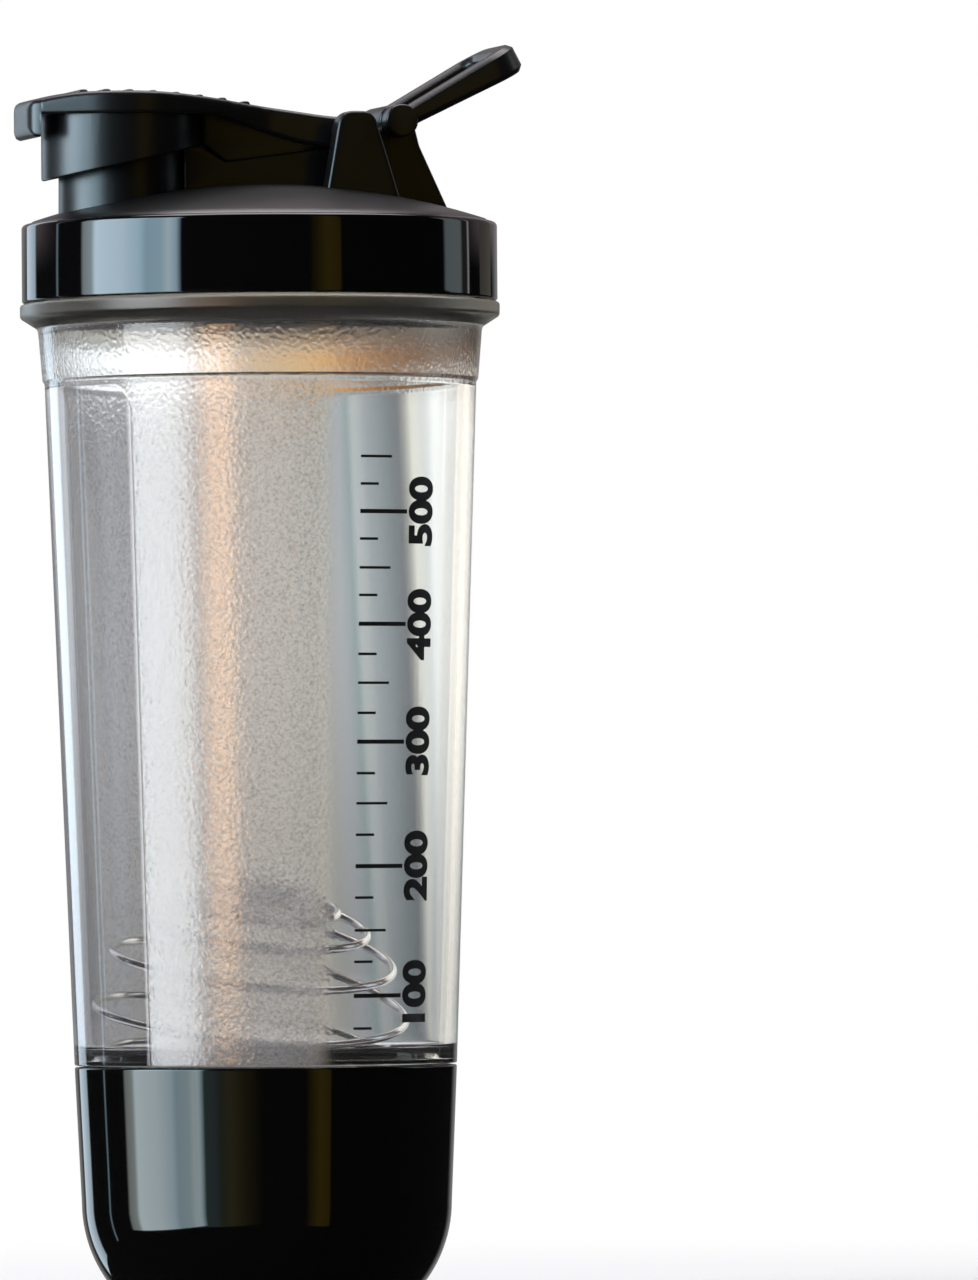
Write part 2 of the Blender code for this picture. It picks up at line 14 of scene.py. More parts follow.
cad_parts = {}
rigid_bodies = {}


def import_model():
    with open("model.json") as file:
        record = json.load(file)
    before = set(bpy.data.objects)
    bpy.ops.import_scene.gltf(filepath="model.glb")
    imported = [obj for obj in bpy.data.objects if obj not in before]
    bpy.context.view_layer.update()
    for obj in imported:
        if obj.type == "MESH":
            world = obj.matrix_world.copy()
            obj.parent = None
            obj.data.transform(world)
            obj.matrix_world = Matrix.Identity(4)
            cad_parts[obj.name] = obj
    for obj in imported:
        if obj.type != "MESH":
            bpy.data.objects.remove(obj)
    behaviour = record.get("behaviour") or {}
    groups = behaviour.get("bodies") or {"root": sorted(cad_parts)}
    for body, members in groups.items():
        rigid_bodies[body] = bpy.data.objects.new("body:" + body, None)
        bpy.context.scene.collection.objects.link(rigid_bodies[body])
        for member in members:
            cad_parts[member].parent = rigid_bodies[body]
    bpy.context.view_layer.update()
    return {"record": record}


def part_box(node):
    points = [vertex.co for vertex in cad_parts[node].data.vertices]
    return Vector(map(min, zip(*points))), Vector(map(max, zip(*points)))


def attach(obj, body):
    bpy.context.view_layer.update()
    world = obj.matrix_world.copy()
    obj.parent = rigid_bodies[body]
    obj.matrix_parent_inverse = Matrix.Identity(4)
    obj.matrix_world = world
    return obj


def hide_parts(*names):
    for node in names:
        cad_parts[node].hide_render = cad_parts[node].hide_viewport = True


MM = 0.001

for default_object in list(bpy.data.objects):
    bpy.data.objects.remove(default_object)

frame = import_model()


# ---------------------------------------------------------------- places, from the frame


def box_mm(node):
    low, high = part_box(node)
    return low / MM, high / MM


def joint_mm(name):
    found = [j for j in frame["record"]["behaviour"]["joints"] if j["name"] == name][0]
    return Vector(found["pos_m"]) / MM


BODY_LOW, BODY_HIGH = box_mm("bottle_body")
CUP_LOW, CUP_HIGH = box_mm("storage_cup")
LID_LOW, LID_HIGH = box_mm("lid_shell")
GASKET_LOW, GASKET_HIGH = box_mm("lid_gasket")
RING_LOW, RING_HIGH = box_mm("storage_seal_ring")
CAP_LOW, CAP_HIGH = box_mm("flip_cap")
PLUG_LOW, PLUG_HIGH = box_mm("spout_seal_plug")
CAP_PIN_LOW, CAP_PIN_HIGH = box_mm("cap_hinge_pin")
LOOP_PIN_LOW, LOOP_PIN_HIGH = box_mm("loop_hinge_pin")
WHISK_LOW, WHISK_HIGH = box_mm("whisk_ball")
CAP_PIN = joint_mm("cap_flip")
LOOP_PIN = joint_mm("loop_swing")

# Body.
NECK_RIM_Z = BODY_HIGH.z
FLANGE_R = BODY_HIGH.x
FLANGE_Z = NECK_RIM_Z - 12.6
LEDGE_Z = FLANGE_Z - 15.2
LEDGE_R = 42.0
SHOULDER_R = 42.9
NECK_R = 41.6
NECK_IN_R = 39.6
WALL = 2.0
SPIGOT_BOTTOM_Z = BODY_LOW.z
BODY_FLOOR_Z = SPIGOT_BOTTOM_Z + 2.2
SPIGOT_R = 32.4
SPIGOT_IN_R = 30.8
LID_LEAD = 10.0
CUP_LEAD = 8.0
THREAD_SWEEP = 200.0
LID_BEAD_R = 1.5
CUP_BEAD_R = 1.4
NECK_THREAD_Z = FLANGE_Z + 3.6

# Cup.
CUP_RIM_Z = CUP_HIGH.z
SPIGOT_THREAD_Z = CUP_RIM_Z - 9.2
JOINT_R = CUP_HIGH.x
CUP_IN_R = 34.8
CUP_CORNER_R = JOINT_R - 1.2

# Lid.
COLLAR_R = LID_HIGH.x
COLLAR_LOW_Z = LID_LOW.z
COLLAR_TOP_Z = COLLAR_LOW_Z + 15.2
COLLAR_IN_R = 44.0
DOME_RIM_R = COLLAR_R - 1.5
DOME_RIM_Z = COLLAR_TOP_Z + 0.3
DOME_TOP_Z = COLLAR_TOP_Z + 7.5
SPOUT_X = (PLUG_LOW.x + PLUG_HIGH.x) / 2
SPOUT_R = 12.1
SPOUT_BORE_R = 9.7
SPOUT_TOP_Z = PLUG_HIGH.z - 2.2
TOWER_IN_Y = 12.5
TOWER_OUT_Y = 17.0
BRACKET_Y = 8.0
PIN_BORE_R = 1.59

# Flip cap.
CAP_UNDER_Z = PLUG_HIGH.z + 0.4
CAP_DISC_R = CAP_HIGH.y
CAP_ARM_Y = 9.5
KNUCKLE_Y = TOWER_IN_Y - 0.4
KNUCKLE_R = CAP_HIGH.x - CAP_PIN.x
SKIRT_R = 15.5
SKIRT_IN_R = 13.5
LIP_Y = 8.5
LIP_END_X = CAP_LOW.x + 0.1
LIP_CORNER_R = 3.0
LIP_TANGENT_DEG = 123.2

# Carry loop.
LOOP_REST_DEG = 28.0
LOOP_REACH = 28.0
LOOP_OPENING = 23.0
LOOP_LEG_IN = BRACKET_Y + 0.4
LOOP_LEG_OUT = BRACKET_Y + 4.6
LOOP_EYE_R = 3.2

# Frosted pattern on the body: a narrow window with a rounded top, and a wide one with soft sides. (Middle, half width.)
NARROW_WINDOW_DEG = (-175.0, 33.5)
WIDE_WINDOW_DEG = (-1.0, 87.0)
WINDOW_TOP_Z = LEDGE_Z - 0.8
SCALE_DEG = -69.8
WINDOW_CORNER = 6.0
MEAN_BODY_R = 39.5


# ---------------------------------------------------------------- mesh tools


def fillet(corners, closed=True, step_deg=15.0):
    """Rounds an outline of (x, y, radius) corners into plain (x, y) points."""
    points = []
    count = len(corners)
    for i, (x, y, radius) in enumerate(corners):
        here = Vector((x, y))
        at_end = not closed and i in (0, count - 1)
        if radius <= 0.0 or at_end:
            points.append((x, y))
            continue
        before = Vector(corners[i - 1][:2]) - here
        after = Vector(corners[(i + 1) % count][:2]) - here
        half = before.angle(after) / 2
        reach = radius / math.tan(half)
        first = here + before.normalized() * reach
        last = here + after.normalized() * reach
        middle = here + (before.normalized() + after.normalized()).normalized() * (radius / math.sin(half))
        turn = math.pi - 2 * half
        steps = max(2, math.ceil(math.degrees(turn) / step_deg))
        start = first - middle
        side = 1.0 if start.x * (last - middle).y - start.y * (last - middle).x > 0 else -1.0
        for k in range(steps + 1):
            angle = side * turn * k / steps
            points.append(
                (
                    middle.x + start.x * math.cos(angle) - start.y * math.sin(angle),
                    middle.y + start.x * math.sin(angle) + start.y * math.cos(angle),
                )
            )
    return points


def spline(points, at):
    """Smooth height of a line through (x, z) points, rising in x."""
    last = len(points) - 2
    i = 0
    while i < last and at > points[i + 1][0]:
        i += 1
    (x1, z1), (x2, z2) = points[i], points[i + 1]
    x0, z0 = points[i - 1] if i else (2 * x1 - x2, 2 * z1 - z2)
    x3, z3 = points[i + 2] if i < last else (2 * x2 - x1, 2 * z2 - z1)
    t = min(1.0, max(0.0, (at - x1) / (x2 - x1)))
    slope1 = (z2 - z0) / (x2 - x0) * (x2 - x1)
    slope2 = (z3 - z1) / (x3 - x1) * (x2 - x1)
    return (
        z1 * (2 * t**3 - 3 * t**2 + 1)
        + slope1 * (t**3 - 2 * t**2 + t)
        + z2 * (3 * t**2 - 2 * t**3)
        + slope2 * (t**3 - t**2)
    )


def mesh_object(name, points, faces):
    """A mesh from millimetre points, faces turned outwards."""
    mesh = bpy.data.meshes.new(name)
    work = bmesh.new()
    verts = [work.verts.new(Vector(p) * MM) for p in points]
    for face in faces:
        work.faces.new([verts[i] for i in face])
    bmesh.ops.recalc_face_normals(work, faces=work.faces)
    work.to_mesh(mesh)
    work.free()
    obj = bpy.data.objects.new(name, mesh)
    bpy.context.scene.collection.objects.link(obj)
    return obj


def skin(name, rings, wrap=False, close_ends=True):
    """Joins equal rings of points side to side. A ring with one point is a pole."""
    points = []
    starts = []
    for ring in rings:
        starts.append(len(points))
        points += ring
    faces = []
    pairs = [(i, i + 1) for i in range(len(rings) - 1)]
    if wrap:
        pairs.append((len(rings) - 1, 0))
    for a, b in pairs:
        count = max(len(rings[a]), len(rings[b]))
        for k in range(count):
            n = (k + 1) % count
            if len(rings[a]) == 1:
                faces.append((starts[a], starts[b] + k, starts[b] + n))
            elif len(rings[b]) == 1:
                faces.append((starts[a] + k, starts[b], starts[a] + n))
            else:
                faces.append((starts[a] + k, starts[b] + k, starts[b] + n, starts[a] + n))
    if close_ends and not wrap:
        for i in (0, len(rings) - 1):
            if len(rings[i]) > 1:
                faces.append([starts[i] + k for k in range(len(rings[i]))])
    return mesh_object(name, points, faces)


def lathe(name, profile, steps=144, centre=(0.0, 0.0), wrap=False):
    """Turns a (radius, height) profile about the vertical through centre."""
    rings = []
    for radius, height in profile:
        if radius < 1e-6:
            rings.append([(centre[0], centre[1], height)])
            continue
        ring = []
        for k in range(steps):
            angle = 2 * math.pi * k / steps
            ring.append((centre[0] + radius * math.cos(angle), centre[1] + radius * math.sin(angle), height))
        rings.append(ring)
    return skin(name, rings, wrap=wrap)


def inset(outline, distance):
    """Moves a closed outline inwards by distance, corner by corner."""
    count = len(outline)
    area = sum(
        outline[i][0] * outline[(i + 1) % count][1] - outline[(i + 1) % count][0] * outline[i][1]
        for i in range(count)
    )
    turn = 1.0 if area > 0 else -1.0
    moved = []
    for i in range(count):
        here = Vector(outline[i])
        along1 = (here - Vector(outline[i - 1])).normalized()
        along2 = (Vector(outline[(i + 1) % count]) - here).normalized()
        normal1 = Vector((-along1.y, along1.x)) * turn
        normal2 = Vector((-along2.y, along2.x)) * turn
        middle = (normal1 + normal2).normalized()
        moved.append(here + middle * (distance / max(0.5, middle.dot(normal1))))
    return moved


def slab(name, outline, thickness, round_r, placement, round_steps=4):
    """An outline thickened both ways from its plane, with rounded rims."""
    rings = []
    for side in (1, -1):
        levels = range(round_steps + 1) if side == 1 else range(round_steps, -1, -1)
        for i in levels:
            angle = math.radians(90.0 * i / round_steps)
            shift = round_r * (1 - math.sin(angle))
            height = side * (thickness / 2 - round_r * (1 - math.cos(angle)))
            rings.append([placement @ Vector((x, y, height)) for x, y in inset(outline, shift)])
    return skin(name, rings)


def side_on(y=0.0):
    """Places an (X, Z) outline in the plane at this Y."""
    return Matrix.Translation((0.0, y, 0.0)) @ Matrix.Rotation(math.pi / 2, 4, "X")


def tube(name, points, radii, sides=12):
    """A round wire along points, capped with shallow domes."""
    rings = []
    tangent = (points[1] - points[0]).normalized()
    side = tangent.orthogonal().normalized()
    for i, (point, radius) in enumerate(zip(points, radii)):
        ahead = points[min(i + 1, len(points) - 1)] - points[max(i - 1, 0)]
        tangent = ahead.normalized()
        side = (side - tangent * side.dot(tangent)).normalized()
        up = tangent.cross(side)
        ring = []
        for k in range(sides):
            angle = 2 * math.pi * k / sides
            ring.append(point + (side * math.cos(angle) + up * math.sin(angle)) * radius)
        rings.append(ring)
    start = points[0] - (points[1] - points[0]).normalized() * radii[0] * 0.4
    end = points[-1] + (points[-1] - points[-2]).normalized() * radii[-1] * 0.4
    return skin(name, [[start]] + rings + [[end]])


def settle(obj):
    """Applies the object's modifiers to its mesh."""
    bpy.context.view_layer.update()
    graph = bpy.context.evaluated_depsgraph_get()
    done = bpy.data.meshes.new_from_object(obj.evaluated_get(graph))
    obj.modifiers.clear()
    obj.data = done


def combine(obj, others, operation):
    """Joins or cuts obj with the others, which are used up."""
    for other in others:
        modifier = obj.modifiers.new(operation, "BOOLEAN")
        modifier.operation = operation
        modifier.object = other
        modifier.solver = "EXACT"
        settle(obj)
        bpy.data.objects.remove(other)
    return obj


def finish_piece(obj, material, body, node, sharp_deg=32.0):
    """Shading, material, and the piece's place in the frame."""
    obj.data.shade_smooth()
    obj.data.set_sharp_from_angle(angle=math.radians(sharp_deg))
    obj.data.materials.clear()
    obj.data.materials.append(material)
    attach(obj, body)
    if node:
        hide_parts(node)
    return obj


def bead_thread(name, radius, bead_r, lead, start_z, steps=72):
    """Two rounded helical beads that run out to nothing at both ends."""
    made = []
    for start in (0, 1):
        points = []
        radii = []
        for i in range(steps + 1):
            sweep = THREAD_SWEEP * i / steps
            angle = math.radians(sweep + 180.0 * start)
            height = start_z + lead * sweep / 360.0
            points.append(Vector((radius * math.cos(angle), radius * math.sin(angle), height)))
            run_out = min(sweep, THREAD_SWEEP - sweep) / 21.0
            radii.append(bead_r * min(1.0, 0.35 + 0.65 * run_out))
        made.append(tube(f"{name}_{start}", points, radii, sides=10))
    return made


# ---------------------------------------------------------------- material tools


def node(tree, kind, settings=None, **inputs):
    """Adds a shader node. An input is a value or another node's socket; _0 names an input by number."""
    made = tree.nodes.new(kind)
    for name, value in (settings or {}).items():
        setattr(made, name, value)
    for name, value in inputs.items():
        socket = made.inputs[int(name[1:])] if name[0] == "_" else made.inputs[name.replace("_", " ")]
        if isinstance(value, bpy.types.NodeSocket):
            tree.links.new(value, socket)
        else:
            socket.default_value = value
    return made


def math_node(tree, operation, first, second=0.0, third=0.0, clamp=False):
    made = node(tree, "ShaderNodeMath", {"operation": operation, "use_clamp": clamp}, _0=first, _1=second, _2=third)
    return made.outputs[0]


def ramp(tree, value, low, high, to_low=0.0, to_high=1.0):
    """Smooth change from to_low at low to to_high at high."""
    made = node(
        tree,
        "ShaderNodeMapRange",
        {"interpolation_type": "SMOOTHSTEP"},
        Value=value,
        From_Min=low,
        From_Max=high,
        To_Min=to_low,
        To_Max=to_high,
    )
    return made.outputs["Result"]


def mix_colour(tree, factor, first, second):
    made = node(tree, "ShaderNodeMix", {"data_type": "RGBA"}, _0=factor, _6=first, _7=second)
    return made.outputs[2]


def noise(tree, position, scale, detail=3.0, roughness=0.5):
    made = node(
        tree, "ShaderNodeTexNoise", None, Vector=position, Scale=scale, Detail=detail, Roughness=roughness
    )
    return made.outputs["Fac"]


def start_material(name):
    """A new node material: its tree, its Principled shader and the object position in metres."""
    made = bpy.data.materials.new(name)
    made.use_nodes = True
    tree = made.node_tree
    place = node(tree, "ShaderNodeTexCoord").outputs["Object"]
    return made, tree, tree.nodes["Principled BSDF"], place


def feed(tree, shader, **inputs):
    for name, value in inputs.items():
        socket = shader.inputs[name.replace("_", " ")]
        if isinstance(value, bpy.types.NodeSocket):
            tree.links.new(value, socket)
        else:
            socket.default_value = value


def bump(tree, height, distance, strength=1.0):
    made = node(tree, "ShaderNodeBump", None, Height=height, Distance=distance, Strength=strength)
    return made.outputs["Normal"]


# ---------------------------------------------------------------- materials


def arc_from(tree, angle, window):
    """Metres along the body's wall to the edge of a (middle, half width) window in degrees, negative inside it."""
    middle_deg, half_deg = window
    turned = math_node(tree, "SUBTRACT", angle, math.radians(middle_deg - 180.0))
    folded = math_node(tree, "FLOORED_MODULO", turned, math.radians(360.0))
    aside = math_node(tree, "ABSOLUTE", math_node(tree, "SUBTRACT", folded, math.radians(180.0)))
    past = math_node(tree, "SUBTRACT", aside, math.radians(half_deg))
    return math_node(tree, "MULTIPLY", past, MEAN_BODY_R * MM)


def clear_plastic():
    """Clear body: polished windows with rounded tops between frosted strips, and a frosted band above."""
    made, tree, shader, place = start_material("clear_body_plastic")
    split = node(tree, "ShaderNodeSeparateXYZ", None, Vector=place)
    x, y, z = split.outputs
    angle = math_node(tree, "ARCTAN2", y, x)
    corner = WINDOW_CORNER * MM
    top = WINDOW_TOP_Z * MM
    over_z = math_node(tree, "MAXIMUM", math_node(tree, "SUBTRACT", z, top - corner), 0.0)
    from_narrow = arc_from(tree, angle, NARROW_WINDOW_DEG)
    over_x = math_node(tree, "MAXIMUM", math_node(tree, "SUBTRACT", from_narrow, -corner), 0.0)
    squares = math_node(tree, "ADD", math_node(tree, "MULTIPLY", over_x, over_x), math_node(tree, "MULTIPLY", over_z, over_z))
    round_window = ramp(tree, math_node(tree, "SQRT", squares), corner - 0.25 * MM, corner + 0.35 * MM)
    soft_edge = ramp(tree, arc_from(tree, angle, WIDE_WINDOW_DEG), -3.5 * MM, 2.5 * MM)
    wide_window = math_node(tree, "MAXIMUM", soft_edge, ramp(tree, z, top - 0.25 * MM, top + 0.35 * MM))
    frost = math_node(tree, "MINIMUM", round_window, wide_window)
    below_flange = ramp(tree, z, (FLANGE_Z - 4.4) * MM, (FLANGE_Z - 4.9) * MM)
    frost = math_node(tree, "MULTIPLY", frost, below_flange)
    strip = ramp(tree, z, (LEDGE_Z + 0.2) * MM, (LEDGE_Z - 1.2) * MM)
    milky = math_node(tree, "MULTIPLY", frost, math_node(tree, "MULTIPLY_ADD", strip, 0.75, 0.25))

    grain = noise(tree, place, 1700.0, 3.0, 0.6)
    spots = node(tree, "ShaderNodeTexVoronoi", {"feature": "SMOOTH_F1"}, Vector=place, Scale=1150.0).outputs["Distance"]
    pits = ramp(tree, spots, 0.62, 0.2)
    rough = math_node(tree, "MULTIPLY_ADD", frost, 0.06, 0.03)
    rough = math_node(tree, "ADD", rough, math_node(tree, "MULTIPLY", math_node(tree, "MULTIPLY", frost, grain), 0.06))
    flange = ramp(tree, z, (FLANGE_Z - 4.9) * MM, (FLANGE_Z - 4.4) * MM)
    rough = math_node(tree, "MULTIPLY_ADD", flange, 0.30, rough)
    relief = math_node(tree, "ADD", grain, math_node(tree, "MULTIPLY", pits, 0.8))
    relief = math_node(tree, "MULTIPLY", relief, math_node(tree, "MULTIPLY_ADD", frost, 0.3, math_node(tree, "MULTIPLY", milky, 0.6)))
    specks = math_node(tree, "MULTIPLY", ramp(tree, grain, 0.50, 0.62), strip)
    frosted = mix_colour(tree, specks, (0.96, 0.96, 0.965, 1.0), (0.70, 0.69, 0.68, 1.0))
    tint = mix_colour(tree, frost, (0.93, 0.93, 0.94, 1.0), frosted)
    tint = mix_colour(tree, flange, tint, (0.60, 0.58, 0.52, 1.0))
    feed(
        tree,
        shader,
        Base_Color=tint,
        Roughness=rough,
        IOR=1.53,
        Transmission_Weight=math_node(tree, "MULTIPLY_ADD", milky, -0.17, 0.985),
        Specular_IOR_Level=0.14,
        Coat_Weight=math_node(tree, "MULTIPLY", math_node(tree, "MULTIPLY", frost, strip), 0.35),
        Coat_Roughness=0.08,
        Coat_Normal=bump(tree, grain, 0.02 * MM, 0.25),
        Normal=bump(tree, relief, 0.12 * MM, 0.40),
    )
    return made


def moulded_black(name, gloss_below_z=None, roughness=0.34, base=(0.0025, 0.0025, 0.003)):
    """Black moulded plastic with a fine grain. Below gloss_below_z it is polished."""
    made, tree, shader, place = start_material(name)
    grain = noise(tree, place, 2600.0, 2.0)
    cloud = noise(tree, place, 60.0, 4.0)
    rough = math_node(tree, "MULTIPLY_ADD", cloud, 0.10, roughness - 0.05)
    satin = 1.0
    if gloss_below_z is not None:
        z = node(tree, "ShaderNodeSeparateXYZ", None, Vector=place).outputs["Z"]
        satin = ramp(tree, z, (gloss_below_z - 0.25) * MM, (gloss_below_z + 0.25) * MM)
        polished = math_node(tree, "MULTIPLY_ADD", cloud, 0.015, 0.03)
        change = math_node(tree, "SUBTRACT", rough, polished)
        rough = math_node(tree, "MULTIPLY_ADD", change, satin, polished)
    feed(
        tree,
        shader,
        Base_Color=(*base, 1.0),
        Roughness=rough,
        IOR=1.5,
        Normal=bump(tree, math_node(tree, "MULTIPLY", grain, satin), 0.02 * MM, 0.6),
    )
    return made


def gloss_black(name):
    """Polished black moulding with the faintest waviness."""
    made, tree, shader, place = start_material(name)
    wave = noise(tree, place, 45.0, 2.0)
    scuff = noise(tree, place, 900.0, 5.0, 0.7)
    feed(
        tree,
        shader,
        Base_Color=(0.002, 0.002, 0.002, 1.0),
        Roughness=math_node(tree, "MULTIPLY_ADD", scuff, 0.04, 0.025),
        IOR=1.52,
        Normal=bump(tree, wave, 0.05 * MM, 0.5),
    )
    return made


def silicone():
    made, tree, shader, place = start_material("seal_silicone")
    cloud = noise(tree, place, 300.0, 4.0)
    tint = mix_colour(tree, cloud, (0.05, 0.05, 0.055, 1.0), (0.10, 0.10, 0.11, 1.0))
    feed(
        tree,
        shader,
        Base_Color=tint,
        Roughness=math_node(tree, "MULTIPLY_ADD", cloud, 0.15, 0.48),
        Subsurface_Weight=0.0,
        Normal=bump(tree, noise(tree, place, 2500.0), 0.02 * MM, 0.5),
    )
    return made


def steel(name, roughness, tone=0.70, drawn_axis=None):
    """Stainless steel; drawn_axis stretches its fine scratches along that axis."""
    made, tree, shader, place = start_material(name)
    stretch = [1.0, 1.0, 1.0]
    if drawn_axis is not None:
        stretch[drawn_axis] = 0.05
    lines = node(tree, "ShaderNodeVectorMath", {"operation": "MULTIPLY"}, _0=place, _1=stretch).outputs[0]
    scratch = noise(tree, lines, 3000.0, 3.0)
    cloud = noise(tree, place, 120.0, 3.0)
    dark, light = 0.88 * tone, 1.12 * tone
    tint = mix_colour(tree, cloud, (dark, dark, dark, 1.0), (light, light, light, 1.0))
    feed(
        tree,
        shader,
        Base_Color=tint,
        Metallic=1.0,
        Roughness=math_node(tree, "MULTIPLY_ADD", scratch, 0.12, roughness),
        Normal=bump(tree, scratch, 0.01 * MM, 0.4),
    )
    return made


def print_ink():
    made, tree, shader, place = start_material("scale_ink")
    cover = noise(tree, place, 1800.0, 4.0)
    feed(
        tree,
        shader,
        Base_Color=mix_colour(tree, cover, (0.004, 0.004, 0.005, 1.0), (0.018, 0.018, 0.02, 1.0)),
        Roughness=math_node(tree, "MULTIPLY_ADD", cover, 0.2, 0.3),
    )
    return made


# ---------------------------------------------------------------- pieces


def body_wall_r(z):
    """Outer radius of the long tapered wall at this height."""
    low_z, high_z = CUP_RIM_Z + 0.6, LEDGE_Z - 0.2
    share = (z - low_z) / (high_z - low_z)
    return JOINT_R + (LEDGE_R - 0.25 - JOINT_R) * share


def bottle_body(material):
    shoulder_z = CUP_RIM_Z + 3.8
    joint_z = CUP_RIM_Z + 0.3
    bottom_in = JOINT_R + 0.1 - WALL
    inside = [
        (0.0, BODY_FLOOR_Z, 0.0),
        (SPIGOT_IN_R, BODY_FLOOR_Z, 3.0),
        (SPIGOT_IN_R, joint_z - 0.6, 1.0),
        (bottom_in - 0.3, shoulder_z, 1.5),
        (bottom_in + 0.03, shoulder_z + 6.0, 0.0),
        (LEDGE_R - WALL - 0.4, LEDGE_Z - 1.0, 1.5),
        (LEDGE_R - WALL, LEDGE_Z + 0.6, 1.5),
        (SHOULDER_R - WALL - 0.1, FLANGE_Z - 5.4, 3.0),
        (NECK_IN_R, FLANGE_Z - 0.6, 3.0),
        (NECK_IN_R, NECK_RIM_Z, 0.55),
    ]
    outside = [
        (NECK_R, NECK_RIM_Z, 0.55),
        (NECK_R, FLANGE_Z, 0.4),
        (FLANGE_R, FLANGE_Z, 0.6),
        (FLANGE_R, FLANGE_Z - 2.6, 0.9),
        (SHOULDER_R + 0.2, FLANGE_Z - 4.7, 0.9),
        (SHOULDER_R, FLANGE_Z - 5.6, 0.0),
        (LEDGE_R + 0.15, LEDGE_Z + 0.5, 0.5),
        (LEDGE_R - 0.25, LEDGE_Z - 0.2, 0.5),
        (JOINT_R, joint_z, 0.35),
        (SPIGOT_R, joint_z, 0.4),
        (SPIGOT_R, SPIGOT_BOTTOM_Z, 1.2),
        (0.0, SPIGOT_BOTTOM_Z, 0.0),
    ]
    profile = fillet(inside + outside, closed=False, step_deg=12.0)
    body = lathe("clear_bottle_body", profile, steps=168)
    threads = bead_thread("neck_bead", NECK_R, LID_BEAD_R, LID_LEAD, NECK_THREAD_Z)
    threads += bead_thread("spigot_bead", SPIGOT_R, CUP_BEAD_R, CUP_LEAD, SPIGOT_THREAD_Z)
    combine(body, threads, "UNION")
    return finish_piece(body, material, "bottle", "bottle_body")


def cup_profile():
    """Cup's wall: big arc then a tighter one outside, one big corner inside."""
    big_r, big_turn = 26.0, math.radians(36.0)
    top_z = 20.3
    knee = (CUP_CORNER_R - big_r * (1 - math.cos(big_turn)), top_z - big_r * math.sin(big_turn))
    foot_arc = knee[1] / (1 - math.sin(big_turn))
    foot_r = knee[0] - foot_arc * math.cos(big_turn)
    outside = []
    for i in range(13):
        turn = big_turn * i / 12
        outside.append((CUP_CORNER_R - big_r * (1 - math.cos(turn)), top_z - big_r * math.sin(turn)))
    for i in range(1, 15):
        turn = big_turn + (math.pi / 2 - big_turn) * i / 14
        outside.append((foot_r + foot_arc * math.cos(turn), foot_arc * (1 - math.sin(turn))))
    floor = 2.2
    recess = [(foot_r - 2.0, 0.0), (foot_r - 2.6, 0.45), (foot_r - 4.2, 0.45), (foot_r - 4.8, 0.0), (0.0, 0.0)]
    step_r, step_z = CUP_IN_R + 1.2, CUP_RIM_Z - 1.4
    inside = [
        (0.0, floor, 0.0),
        (CUP_CORNER_R - WALL, floor, 15.0),
        (CUP_IN_R - 0.02, CUP_RIM_Z - 12.0, 2.0),
        (CUP_IN_R, step_z, 0.3),
        (step_r, step_z, 0.2),
        (step_r, CUP_RIM_Z, 0.25),
        (JOINT_R, CUP_RIM_Z, 0.4),
        (CUP_CORNER_R, top_z, 0.0),
    ]
    return fillet(inside, closed=False, step_deg=9.0) + outside[1:] + recess


def storage_cup(material):
    cup = lathe("black_storage_cup", cup_profile(), steps=168)
    combine(cup, bead_thread("cup_bead", CUP_IN_R, CUP_BEAD_R, CUP_LEAD, SPIGOT_THREAD_Z + CUP_LEAD / 4), "UNION")
    return finish_piece(cup, material, "cup", "storage_cup", sharp_deg=28.0)


def storage_seal_ring(material):
    inner, outer = CUP_IN_R - 0.4, RING_HIGH.x
    section = fillet(
        [
            (outer, RING_HIGH.z, 0.3),
            (outer, RING_LOW.z, 0.3),
            (inner, RING_LOW.z, 0.3),
            (inner, RING_HIGH.z, 0.3),
        ]
    )
    ring = lathe("cup_seal_ring", section, steps=144, wrap=True)
    return finish_piece(ring, material, "cup_ring_carrier", "storage_seal_ring")


def lid_gasket(material):
    inner, outer = 39.5, GASKET_HIGH.x
    section = fillet(
        [
            (outer, GASKET_HIGH.z, 0.3),
            (outer, GASKET_LOW.z, 0.5),
            ((inner + outer) / 2 + 0.8, GASKET_LOW.z + 0.35, 0.4),
            ((inner + outer) / 2 - 0.8, GASKET_LOW.z + 0.35, 0.4),
            (inner, GASKET_LOW.z, 0.4),
            (inner, GASKET_HIGH.z, 0.3),
        ]
    )
    ring = lathe("lid_gasket_ring", section, steps=144, wrap=True)
    return finish_piece(ring, material, "lid_gasket_carrier", "lid_gasket")


def dome_arc(depth, from_r, to_r, count):
    """Points on the lid's dome, or on its underside at this depth, between two radii."""
    rise = DOME_TOP_Z - DOME_RIM_Z
    ball_r = (DOME_RIM_R**2 + rise**2) / (2 * rise)
    centre_z = DOME_TOP_Z - ball_r
    radii = [from_r + (to_r - from_r) * i / count for i in range(count + 1)]
    return [(r, centre_z + math.sqrt((ball_r - depth) ** 2 - r * r)) for r in radii]


def lid_towers():
    """Two hinge towers, one on each side of the cap's arm."""
    foot_z = COLLAR_TOP_Z + 2.8
    top_z = LID_HIGH.z - 1.8
    tower = fillet(
        [
            (8.6, foot_z, 0.0),
            (11.9, top_z, 3.0),
            (18.6, top_z, 3.0),
            (24.2, foot_z, 0.0),
        ],
        step_deg=10.0,
    )
    middle = (TOWER_IN_Y + TOWER_OUT_Y) / 2
    thick = TOWER_OUT_Y - TOWER_IN_Y
    return [slab(f"tower_{side}", tower, thick, 0.7, side_on(side * middle)) for side in (-1, 1)]


